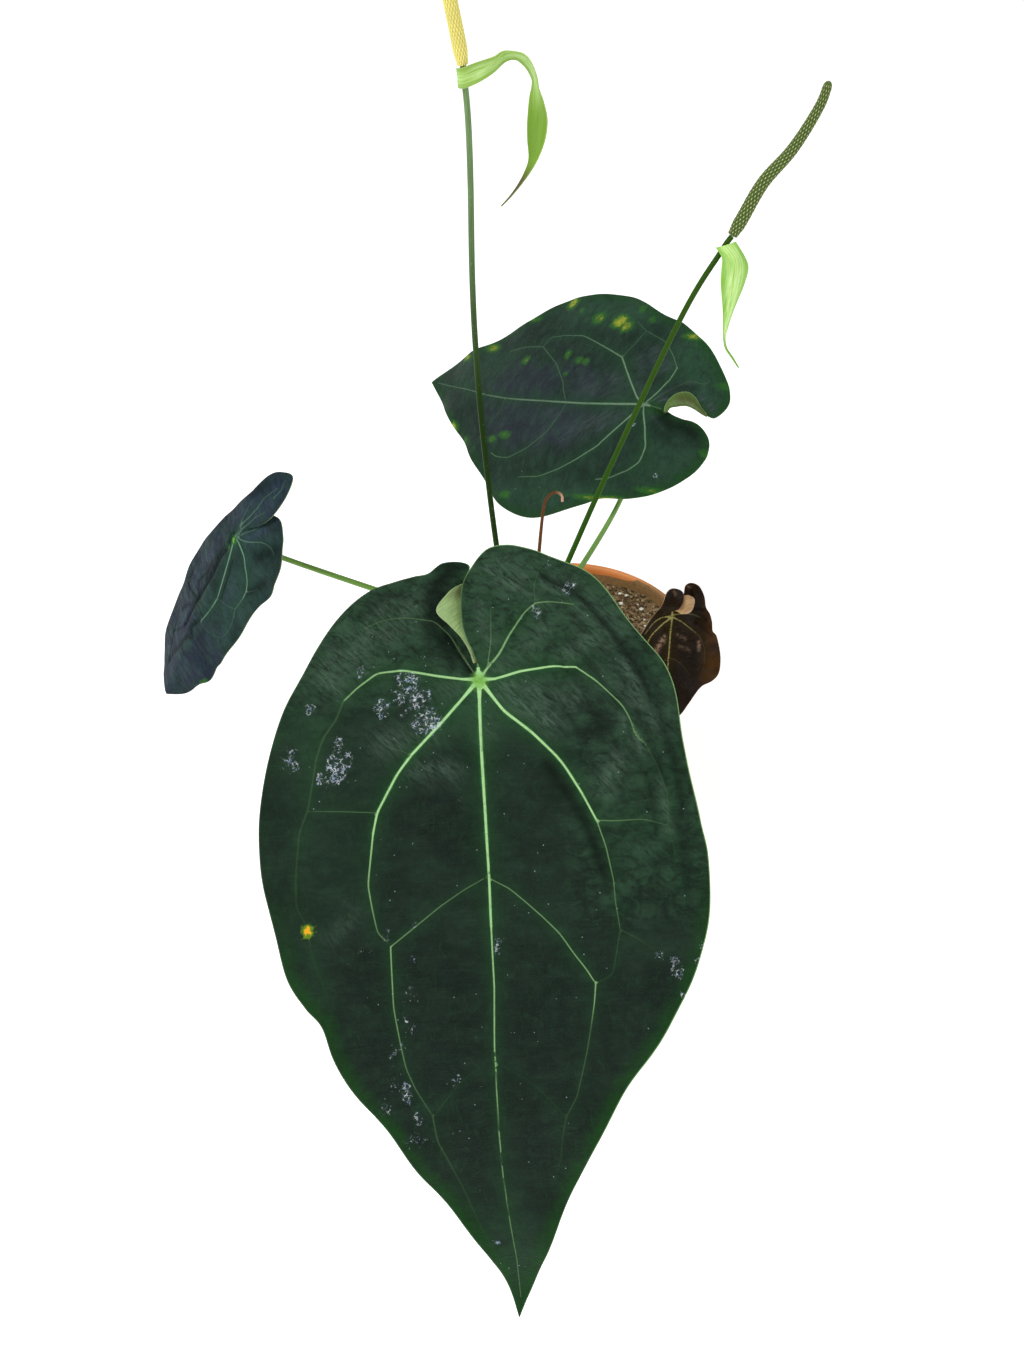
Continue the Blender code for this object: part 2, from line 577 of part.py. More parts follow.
def tube(line, radius_at, sides, seat=None):
    """A closed round bar along a line. A seat (point, normal) cuts its far end to that plane."""
    tangents, pairs = frames(line)
    points, faces = [], []
    for ring, (centre, (a, b)) in enumerate(zip(line, pairs)):
        for side in range(sides):
            angle = 2 * math.pi * side / sides
            radius = radius_at(ring / (len(line) - 1), ring, side)
            points.append(centre + radius * (math.cos(angle) * a + math.sin(angle) * b))
    if seat:
        point, normal = seat
        tangent = tangents[-1]
        for number in range(len(points) - sides, len(points)):
            travel = ((points[number] - point) @ normal) / (tangent @ normal)
            points[number] = points[number] - tangent * travel
    for ring in range(len(line) - 1):
        for side in range(sides):
            a, b = ring * sides + side, ring * sides + (side + 1) % sides
            faces.append((a, b, b + sides, a + sides))
    start, end = len(points), len(points) + 1
    points.append(line[0])
    points.append(np.mean(points[-1 - sides : -1], axis=0))
    last = (len(line) - 1) * sides
    for side in range(sides):
        following = (side + 1) % sides
        faces.append((start, following, side))
        faces.append((end, last + side, last + following))
    return points, faces


def taper(start, end):
    """Radius along a stalk, a little fuller over its lowest part."""
    return lambda t, ring, side: start + (end - start) * t + FOOT_SWELL * math.exp(-t * 14)


def socket_cutter(name, route, radius):
    """A round bar a gap wider than the stalk, which starts a gap below it and leaves the crown."""
    line = smooth_line(route, 7.0)[:5]
    heading = line[1] - line[0]
    line = np.vstack([line[0] - heading / np.linalg.norm(heading) * GAP, line[1:]])
    hole_radius = radius + FOOT_SWELL + 1.5 * GAP
    points, faces = tube(line, lambda t, ring, side: hole_radius, SOCKET_SIDES)
    return make_object(name, points, faces)


def make_leaf_stalk(name, leaf, route, radius, tip_radius, material):
    middle, normal = blade_seat(leaf)
    seat = middle - normal * (BLADE_THICKNESS / 2 + GAP)
    line = smooth_line(route + [tuple(seat)], 14.0)
    points, faces = tube(line, taper(radius, tip_radius), STALK_SIDES, (seat, normal))
    make_object(name, points, faces, material)
    return socket_cutter(name + "_socket", route, radius)


def make_peduncle(name, route, radius, tip_radius, material):
    points, faces = tube(smooth_line(route, 20.0), taper(radius, tip_radius), STALK_SIDES)
    make_object(name, points, faces, material)
    return socket_cutter(name + "_socket", route, radius)


def make_sprout(name, route, material):
    """A thin rolled bract that comes up beside the stalks and hooks over at its tip."""
    radius, tip_radius = 1.25, 0.55
    points, faces = tube(smooth_line(route, 6.0), lambda t, ring, side: radius + (tip_radius - radius) * t, 6)
    make_object(name, points, faces, material)
    return socket_cutter(name + "_socket", route, 0.8 * radius)


def make_spadix(name, route, material):
    """A tapered spike whose florets stand out in a diagonal lattice."""

    def radius(t, ring, side):
        body = SPADIX_RADIUS * min(1.0, 0.72 + 4 * t) * (1 - 0.42 * t**1.6)
        blunt = math.sqrt(max(0.0, 1 - max(0.0, (t - 0.96) / 0.045) ** 2))
        floret = FLORET_RELIEF if (ring + side) % 2 and 0 < t < 0.97 else 0.0
        return (body + floret) * max(blunt, 0.35)

    line = smooth_line(route, 1.0)
    line = even_line(line, np.linalg.norm(np.diff(line, axis=0), axis=1).sum() / SPADIX_RINGS)
    points, faces = tube(line, radius, SPADIX_SIDES)
    return make_object(name, points, faces, material)


def make_spathe(name, stations, material):
    """A leaf-like bract: a strap lofted over its stations, with a cambered cross-section."""
    rows = np.array([(*centre, *half, camber) for centre, half, camber in stations], float)
    rows = smooth_line(rows, SPATHE_STEP)
    points, faces = [], []
    across = (-1.0, -0.45, 0.45, 1.0)
    centres = rows[:, :3]
    runs = np.gradient(centres, axis=0)
    for row, run in zip(rows, runs):
        half = row[3:6]
        out = np.cross(half, run)
        out /= np.linalg.norm(out)
        points += [row[:3] + half * s + out * row[6] * (1 - s * s) for s in across]
    width = len(across)
    for row in range(len(rows) - 1):
        for column in range(width - 1):
            a = row * width + column
            b, c, d = a + 1, a + width + 1, a + width
            faces += [(a, b, c), (a, c, d)]
    solid, sides = solid_sheet(np.array(points), faces, SPATHE_THICKNESS)
    return make_object(name, solid, sides, material)


def turned(name, profile, sides, at=(0.0, 0.0), material=None):
    """A solid turned about a vertical axis from a profile of (radius, height), base first."""
    points, faces = [], []
    for radius, height in profile:
        for side in range(sides):
            angle = 2 * math.pi * side / sides
            points.append((at[0] + radius * math.cos(angle), at[1] + radius * math.sin(angle), height))
    for ring in range(len(profile) - 1):
        for side in range(sides):
            a, b = ring * sides + side, ring * sides + (side + 1) % sides
            faces.append((a, b, b + sides, a + sides))
    faces.append(tuple(range(sides))[::-1])
    faces.append(tuple(range((len(profile) - 1) * sides, len(profile) * sides)))
    return make_object(name, points, faces, material, smooth=35)


def inner_radius(height):
    """The pot's inside, straight from its floor to the rim."""
    top = RIM_RADIUS - RIM_THICKNESS
    bottom = BASE_RADIUS - WALL
    return bottom + (top - bottom) * (height - FLOOR) / (POT_HEIGHT - FLOOR)


def make_pot(material):
    """A tapered plant pot with a collar round its rim and drain holes in its floor."""
    collar = POT_HEIGHT - COLLAR_HEIGHT
    wall_top = inner_radius(collar) + WALL
    profile = [
        (BASE_RADIUS - 1.5, 0), (BASE_RADIUS, 1.5), (wall_top, collar - 1), (wall_top + COLLAR_STEP, collar),
        (RIM_RADIUS, POT_HEIGHT - 2), (RIM_RADIUS - 0.7, POT_HEIGHT - 0.5), (RIM_RADIUS - 1.7, POT_HEIGHT),
        (RIM_RADIUS - 2.7, POT_HEIGHT - 0.4), (inner_radius(POT_HEIGHT - 1.6), POT_HEIGHT - 1.6),
        (inner_radius(FLOOR + 4), FLOOR + 4), (BASE_RADIUS - WALL - 4, FLOOR),
    ]
    pot = turned("pot", profile, POT_SIDES, material=material)
    holes = []
    for number in range(DRAIN_HOLES):
        angle = 2 * math.pi * (number + 0.5) / DRAIN_HOLES
        at = (DRAIN_RING * math.cos(angle), DRAIN_RING * math.sin(angle))
        bore = [(DRAIN_RADIUS, -2), (DRAIN_RADIUS, FLOOR + 2)]
        holes.append(turned(f"drain_cutter_{number}", bore, DRAIN_SIDES, at))
    cut(pot, holes)
    return pot


def soil_height(x, y):
    lumps = 0.8 * math.sin(0.13 * x + 1) * math.cos(0.11 * y) + 0.5 * math.sin(0.31 * x - 0.27 * y)
    return SOIL_LEVEL + SOIL_TILT[0] * x + SOIL_TILT[1] * y + lumps


def make_soil(material):
    """The filling of the pot, a gap inside its wall, with an uneven top and a hole for the crown."""
    foot = FLOOR + GAP
    points = []
    for radius, height in ((inner_radius(foot) - 4.5, foot), (inner_radius(foot + 5) - 1.2, foot + 5)):
        for side in range(POT_SIDES):
            angle = 2 * math.pi * side / POT_SIDES
            points.append((radius * math.cos(angle), radius * math.sin(angle), height))
    for ring in range(SOIL_RINGS, 0, -1):
        for side in range(POT_SIDES):
            angle = 2 * math.pi * side / POT_SIDES
            radius = (inner_radius(SOIL_LEVEL) - 1.0) * ring / SOIL_RINGS
            x, y = radius * math.cos(angle), radius * math.sin(angle)
            height = soil_height(x, y)
            if ring == SOIL_RINGS:
                edge = inner_radius(height) - 1.4 * GAP
                x, y = edge * math.cos(angle), edge * math.sin(angle)
            points.append((x, y, height))
    faces = [tuple(range(POT_SIDES))[::-1]]
    for ring in range(SOIL_RINGS + 1):
        for side in range(POT_SIDES):
            a, b = ring * POT_SIDES + side, ring * POT_SIDES + (side + 1) % POT_SIDES
            faces += [(a, b, b + POT_SIDES), (a, b + POT_SIDES, a + POT_SIDES)]
    points.append((0, 0, soil_height(0, 0)))
    last = (SOIL_RINGS + 1) * POT_SIDES
    faces += [(last + side, last + (side + 1) % POT_SIDES, len(points) - 1) for side in range(POT_SIDES)]
    soil = make_object("soil", points, faces, material, smooth=30)
    hole = [(CROWN_RADIUS + GAP, CROWN_FOOT - GAP), (CROWN_RADIUS + GAP, POT_HEIGHT)]
    cut(soil, [turned("crown_hole_cutter", hole, CROWN_SIDES, CROWN_AT)])
    return soil


def make_crown(material, sockets):
    """The short upright stem, ringed with old leaf scars, with a blind socket for each stalk."""
    clear = SOIL_LEVEL + 2
    profile = [
        (CROWN_RADIUS - 4, CROWN_FOOT), (CROWN_RADIUS, CROWN_FOOT + 4), (CROWN_RADIUS, clear),
        (CROWN_BULGE - 1, clear + 3), (CROWN_BULGE, clear + 6), (CROWN_BULGE - 1.2, clear + 7.5),
        (CROWN_BULGE, clear + 10), (CROWN_BULGE - 1.5, clear + 14), (CROWN_BULGE - 6, CROWN_TOP - 1),
        (CROWN_BULGE - 11, CROWN_TOP),
    ]
    crown = turned("crown", profile, CROWN_SIDES, CROWN_AT, material)
    cut(crown, sockets)
    return crown


def make_plant():
    velvet = make_material("leaf_green", (0.012, 0.035, 0.018), 0.5)
    bronze = make_material("young_leaf_bronze", (0.02, 0.008, 0.005), 0.25)
    petiole = make_material("petiole_green", (0.16, 0.32, 0.07), 0.45)
    stalk = make_material("peduncle_green", (0.07, 0.16, 0.02), 0.45)
    sprout = make_material("sprout_red_brown", (0.19, 0.07, 0.03), 0.4)
    bract = make_material("spathe_green", (0.25, 0.5, 0.08), 0.4)
    yellow = make_material("spadix_yellow", (0.66, 0.5, 0.1), 0.55)
    green = make_material("spadix_green", (0.12, 0.2, 0.05), 0.55)
    stem = make_material("crown_brown", (0.15, 0.13, 0.05), 0.8)
    leaves = [
        ("leaf_front", FRONT_LEAF, FRONT_STALK, 2.4, 2.1, velvet),
        ("leaf_rear", REAR_LEAF, REAR_STALK, 2.2, 1.8, velvet),
        ("leaf_left", LEFT_LEAF, LEFT_STALK, 1.9, 1.6, velvet),
        ("leaf_young", YOUNG_LEAF, YOUNG_STALK, 1.5, 1.2, bronze),
    ]
    sockets = []
    for name, leaf, route, radius, tip_radius, surface in leaves:
        make_blade(name + "_blade", leaf, surface)
        sockets.append(make_leaf_stalk(name + "_petiole", leaf, route, radius, tip_radius, petiole))
    sockets.append(make_peduncle("flower_left_peduncle", LEFT_PEDUNCLE, 1.6, 1.25, stalk))
    sockets.append(make_peduncle("flower_right_peduncle", RIGHT_PEDUNCLE, 1.6, 1.2, stalk))
    sockets.append(make_sprout("sprout", SPROUT, sprout))
    make_spadix("flower_left_spadix", LEFT_SPADIX, yellow)
    make_spadix("flower_right_spadix", RIGHT_SPADIX, green)
    make_spathe("flower_left_spathe", LEFT_SPATHE, bract)
    make_spathe("flower_right_spathe", RIGHT_SPATHE, bract)
    make_crown(stem, sockets)


clear_scene()
make_pot(make_material("pot_terracotta_plastic", (0.42, 0.13, 0.03), 0.45))
make_soil(make_material("soil_brown", (0.12, 0.08, 0.05), 0.95))
make_plant()
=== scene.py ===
import math
import random

import bpy
import numpy as np
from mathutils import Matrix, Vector, geometry, kdtree, noise


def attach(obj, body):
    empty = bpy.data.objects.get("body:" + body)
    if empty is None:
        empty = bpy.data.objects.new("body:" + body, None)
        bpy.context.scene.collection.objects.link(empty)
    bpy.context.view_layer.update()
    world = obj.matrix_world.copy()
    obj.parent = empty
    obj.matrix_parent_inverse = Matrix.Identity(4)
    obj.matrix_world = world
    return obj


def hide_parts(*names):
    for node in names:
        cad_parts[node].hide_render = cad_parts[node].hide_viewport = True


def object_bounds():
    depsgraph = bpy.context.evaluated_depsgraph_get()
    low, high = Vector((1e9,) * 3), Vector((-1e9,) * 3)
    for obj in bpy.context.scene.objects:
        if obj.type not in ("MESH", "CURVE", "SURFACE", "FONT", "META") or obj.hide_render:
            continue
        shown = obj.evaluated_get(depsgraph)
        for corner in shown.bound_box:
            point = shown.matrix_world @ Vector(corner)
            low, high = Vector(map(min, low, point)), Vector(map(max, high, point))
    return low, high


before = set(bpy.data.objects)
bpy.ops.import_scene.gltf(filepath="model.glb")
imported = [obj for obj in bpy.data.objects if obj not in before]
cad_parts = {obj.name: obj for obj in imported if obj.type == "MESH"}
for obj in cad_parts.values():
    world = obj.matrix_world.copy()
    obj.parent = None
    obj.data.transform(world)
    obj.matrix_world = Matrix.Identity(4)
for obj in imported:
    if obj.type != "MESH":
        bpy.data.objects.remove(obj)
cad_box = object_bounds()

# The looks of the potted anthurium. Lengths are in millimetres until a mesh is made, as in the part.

MM = 0.001

# The CAD's box, a hair smaller: no point of a fine piece lies outside it.
LOW = np.array(cad_box[0]) / MM + 0.02
HIGH = np.array(cad_box[1]) / MM - 0.02

# Pot and soil
POT_HEIGHT = 135.0
RIM_RADIUS = 75.0
RIM_THICKNESS = 3.5
BASE_RADIUS = 52.0
WALL = 2.3
FLOOR = 2.8
COLLAR_HEIGHT = 15.0
COLLAR_STEP = 2.2
DRAIN_HOLES = 8
DRAIN_RADIUS = 4.0
DRAIN_RING = 37.0
LATHE_SMOOTH = 40.0
SOIL_LEVEL = 121.5
SOIL_TILT = (0.08, 0.05)
CROWN_AT = (-25.0, 3.0)
CROWN_TOP = 141.0
CROWN_RADIUS = 13.0
CROWN_BULGE = 15.5

# Blades
SHEET = 0.5
RIDGE_HEIGHT = 0.7
RIB_DEPTH = 1.5
QUILT_HEIGHT = 1.1
QUILT_REACH = 9.0
NO_VEIN = 9.0  # stands for the distance to a vein's edge where none is near
HAIR = 1e-4

# A leaf is drawn flat, as in the part: u runs from the stalk to the tip, v to the left of it. The first
# values place and bend it (in mm and degrees), and plus and minus are the outlines of its two halves.
# veins: (points, half widths at both ends, brightness at both ends). folds: (points, depth, width,
# darkness of the shade painted along the fold). The sheen strokes: (points, width, strength), painted sheen
# where light catches the blade. flap: a margin folded back over its crease, up to its free edge. over, lift
# and lift_reach: which lobe lies over the other, by how much, and from how far in.
# wave: size, count and phase of the waved rim. step: the spacing of the fine mesh.
FRONT_LEAF = dict(
    at=(-48.8, -155.6, 262.8), heading=-85, slope=28, droop=12, lobe_droop=0, roll=0,
    fold=(6, 6), cup=(-6, -6), sway=-4, length=256,
    plus=[
        (-6, 0), (-8, -0.8), (-12, -2.2), (-16, -3.9), (-24, -5.4), (-38, -4.6), (-47, 0), (-54, 6.5),
        (-55.5, 14), (-54.5, 21.5), (-52, 30), (-44, 44), (-36, 52), (-22, 61), (-11, 68), (0, 74),
        (13, 78), (31, 80), (46, 81.5), (62, 84.5), (75, 87), (92, 86), (107, 83), (121.5, 78),
        (135.5, 68.5), (150, 58.5), (164.5, 47.5), (181, 36.5), (197, 28.5), (213, 19.5), (230, 12),
        (244, 6.5), (256, 0),
    ],
    minus=[
        (-6, 0), (-9, -0.6), (-13.5, -1.2), (-18.5, -1.6), (-23.6, -2), (-30, -2.3), (-37.5, -2.6),
        (-41.5, -2.8), (-46, -1.8), (-50.2, -0.4), (-52, -5), (-51, -12), (-46.5, -18), (-45.5, -24),
        (-43.5, -32), (-39, -42), (-27.5, -54.5), (-16, -63.5), (-3.5, -70), (12, -77), (28, -82),
        (43, -84), (60, -84.5), (75, -83.5), (94, -78.5), (110, -75), (120.5, -69.5), (128, -63.5),
        (140, -59.5), (156, -52), (171.5, -40.5), (189.5, -30.5), (207.5, -19.5), (225.5, -9),
        (242, -3), (256, 0),
    ],
    veins=[
        ([(-5, 0), (13, 0), (30, 0.4), (52, 1.2), (78, 1.9), (96, 1.9)], (0.6, 0.38), (1.0, 0.85)),
        ([(96, 1.9), (119, 1.9), (143, 0.4), (150, 0.4), (160, 0), (175, -0.4), (193, -0.4), (211, 0.4),
          (229, 1.6), (248, 1.5)], (0.29, 0.12), (0.75, 0.16)),
        ([(-2.5, 0), (9, 0)], (1.25, 0.55), (1.0, 1.0)), ([(0, 0), (7, -6.3)], (1.0, 0.48), (1.0, 1.0)),
        ([(0, 0), (7.5, 5.3)], (1.0, 0.48), (1.0, 1.0)), ([(0, 0), (-0.5, -7)], (0.95, 0.45), (1.0, 1.0)),
        ([(0, 0), (0.3, 6.5)], (0.95, 0.45), (1.0, 1.0)), ([(0, 0), (-4.4, 3.5)], (0.8, 0.35), (0.9, 0.7)),
        ([(0, 0), (-0.5, -7), (-2, -16), (-5, -30), (-4.4, -40.4), (1, -48), (6.5, -53.5)],
         (0.48, 0.25), (1.0, 0.5)),
        ([(6.5, -53.5), (13.6, -56), (20.6, -61), (28, -63.6), (38, -65), (48, -66.6), (56, -69.7),
          (72, -71.3), (83, -71.3), (91, -67), (100, -66), (110, -63), (122, -60)], (0.35, 0.3), (0.06, 0.0)),
        ([(0, 0), (6.5, -5.8), (17.5, -15.8), (29.2, -27.3), (36.2, -32.7), (50.3, -40.4), (58, -42)],
         (0.52, 0.34), (1.0, 0.9)),
        ([(58, -42), (77, -44.3), (85.5, -43), (95, -41.2), (98, -38.2)], (0.3, 0.18), (0.75, 0.18)),
        ([(50.3, -40.4), (49, -53.5), (48, -66.6)], (0.15, 0.12), (0.16, 0.1)),
        ([(29.2, -27.3), (27, -31), (24.5, -39.7)], (0.15, 0.15), (0.1, 0.0)),
        ([(77, 1.9), (81.6, -8), (87, -17.3), (94, -27.3), (100.4, -36.6)], (0.12, 0.18), (0.2, 0.35)),
        ([(100.4, -36.6), (110, -36.6), (123, -36.6), (135.6, -35), (146.5, -33.5), (155, -30.4),
          (165, -25)], (0.22, 0.14), (0.55, 0.08)),
        ([(165, -25), (175, -24), (182.5, -21), (195, -16.6), (206, -13), (220, -8)], (0.25, 0.2), (0.08, 0.0)),
        ([(146, 0.4), (149, -6), (153.6, -13.5), (160, -19.6), (165.3, -24.6)], (0.1, 0.1), (0.0, 0.05)),
        ([(0, 0), (0.3, 6.5), (-2, 16.6), (-3, 29.7), (-2, 39)], (0.5, 0.3), (1.0, 0.9)),
        ([(-2, 39), (4.2, 46.6), (15, 56.6), (21.4, 59.7), (27.6, 61.2), (31, 65)], (0.27, 0.2), (0.65, 0.2)),
        ([(21.4, 59.7), (31, 65), (40, 69), (51, 72), (63, 72), (73, 74), (85, 74)], (0.25, 0.2), (0.05, 0.0)),
        ([(0, 0), (13.6, 9.6), (23, 20.4), (33, 29.7), (37, 32.7), (48, 39), (59, 44.3)], (0.52, 0.32), (1.0, 0.85)),
        ([(59, 44.3), (69, 47.4), (81.6, 49.7), (90, 49.9), (100.4, 51.2)], (0.2, 0.14), (0.4, 0.12)),
        ([(100.4, 51.2), (107.4, 49.7), (117, 47.4), (120, 40.6)], (0.2, 0.15), (0.05, 0.03)),
        ([(100.4, 51.2), (105, 59), (112, 67.4)], (0.15, 0.15), (0.05, 0.0)),
        ([(59, 44.3), (59.7, 52), (59.7, 62), (61.3, 67.4), (63, 72)], (0.16, 0.12), (0.3, 0.06)),
        ([(78, 1.9), (82.4, 9.6), (88, 15.8), (94, 22), (100.4, 28), (109, 33.5), (114.4, 37.4),
          (120, 40.6)], (0.14, 0.2), (0.3, 0.5)),
        ([(120, 40.6), (127, 39.7), (135.6, 38)], (0.22, 0.16), (0.6, 0.2)),
        ([(135.6, 38), (145.7, 35.8), (153.6, 33.5), (163, 30.4), (170, 25.8), (179.4, 23.5),
          (187, 22.7), (198, 19)], (0.22, 0.2), (0.1, 0.0)),
        ([(148, 0.4), (152, 7.3), (157.5, 15), (164.5, 21.2), (170, 25.4)], (0.1, 0.1), (0.0, 0.03)),
        ([(0, 0), (-4.4, 3.5), (-10, 9), (-17, 13.5), (-26.3, 20.4), (-30.2, 25), (-30.2, 32), (-28, 40.4)],
         (0.42, 0.2), (0.6, 0.2)),
        ([(-30.2, 25), (-37.3, 25), (-46, 28)], (0.2, 0.2), (0.1, 0.0)),
        ([(-4.4, 3.5), (-14.6, 5.8), (-26.3, 6.5), (-33.4, 7.3)], (0.22, 0.15), (0.25, 0.0)),
        ([(0, 0), (-8.3, -5), (-20, -10.4), (-26.3, -16.6), (-28, -29), (-26.3, -37.4), (-23, -44.3)],
         (0.22, 0.2), (0.2, 0.08)),
        ([(0, -0.5), (-12, -6), (-24, -9)], (0.2, 0.2), (0.12, 0.0)),
    ],
    folds=[
        ([(36, 26), (47, 33), (58, 39), (69, 43), (80, 46)], 0.3, 2.4, 0.75),
        ([(-14, 36), (-5, 44), (6, 50), (16, 56)], 0.6, 1.3, 0.45),
        ([(-4, 33), (6, 40), (15, 44), (24, 52)], 0.5, 1.2, 0.4), ([(8, 26), (16, 34), (26, 40)], 0.5, 1.3, 0.4),
        ([(-12, 60), (4, 68), (22, 72), (40, 76), (60, 78)], 0.6, 1.8, 0.5),
        ([(18, 62), (32, 68), (47, 72)], 0.5, 1.2, 0.45), ([(30, 56), (40, 63), (52, 66), (66, 67)], 0.5, 1.1, 0.4),
        ([(62, 76), (78, 78), (95, 78)], 0.4, 1.6, 0.4), ([(-6, -10), (-15, -13), (-25, -20)], 0.5, 2.6, 0.7),
        ([(-50, -7), (-44, -12), (-36, -17), (-24, -17), (-14, -10)], 0.2, 4.0, 0.75),
        ([(-4, -3.4), (-12, -7.4), (-20, -12)], 0.2, 2.6, 1.0), ([(-24, -14), (-30, -14), (-36, -12)], 0.2, 3.0, 0.8),
        ([(-42, 29), (-34, 40), (-25, 48), (-12, 57), (0, 63), (13, 68)], 0.7, 1.5, 0.8),
        ([(-38, 20), (-28, 36), (-16, 46)], 0.4, 1.2, 0.4), ([(10, 36), (24, 50), (40, 58)], 0.4, 1.1, 0.35),
        ([(-28, -46), (-34, -38), (-38, -28)], 0.4, 2.0, 0.3),
    ],
    painted_sheen=[
        ([(-46, 6), (-41, 12), (-37, 18)], 2.2, 0.8), ([(-42, 16), (-34, 24), (-30, 30)], 3.5, 0.5),
        ([(0, -8), (2, 12)], 9.0, 0.65), ([(6, 1), (24, 1)], 4.0, 0.55),
        ([(-30, -25), (-18, -45), (-4, -60)], 9.0, 0.55),
        ([(-44, 14), (-34, 36), (-16, 54)], 9.0, 0.45), ([(4, 50), (22, 70)], 8.0, 0.35),
        ([(-30, 2), (-20, 4), (-12, 6)], 3.0, 0.5), ([(-3, -62), (0, -58), (5, -55)], 1.3, 1.0),
        ([(-35, -34), (-28, -40), (-20, -46)], 2.5, 0.6), ([(-24, -26), (-20, -36)], 4.0, 0.4),
        ([(20, -20), (24, -30), (24, -38)], 6.0, 0.5), ([(36, -12), (34, -26)], 5.0, 0.45),
        ([(6, 20), (12, 30), (10, 38)], 5.0, 0.6), ([(4, 6), (12, 16), (20, 28)], 5.0, 0.7),
        ([(-6, 34), (-14, 48)], 4.0, 0.6), ([(-2, 58), (14, 64)], 3.0, 0.6), ([(36, 54), (46, 48)], 5.0, 0.55),
        ([(20, 56), (34, 64)], 2.0, 0.7), ([(46, 70), (64, 72)], 2.0, 0.5),
        ([(88, -50), (95, -58)], 4.0, 0.25), ([(-10, 20), (-18, 28)], 4.0, 0.5),
    ],
    flap=dict(
        side=-1, radius=1.2, rise=2.6,
        crease=[(-7, -0.6), (-13.5, -1.2), (-18.5, -1.6), (-23.6, -2), (-30, -2.3), (-37.5, -2.6), (-41.5, -2.8)],
        free=[(-7, -1.8), (-13.5, -3.4), (-18.5, -6.2), (-23.6, -10.5), (-29.9, -15.4), (-37, -10.6), (-41.8, -4.4)],
    ),
    over=1, lift=3.2, lift_reach=10, wave=(1.8, 9, 0.4), step=1.7,
)
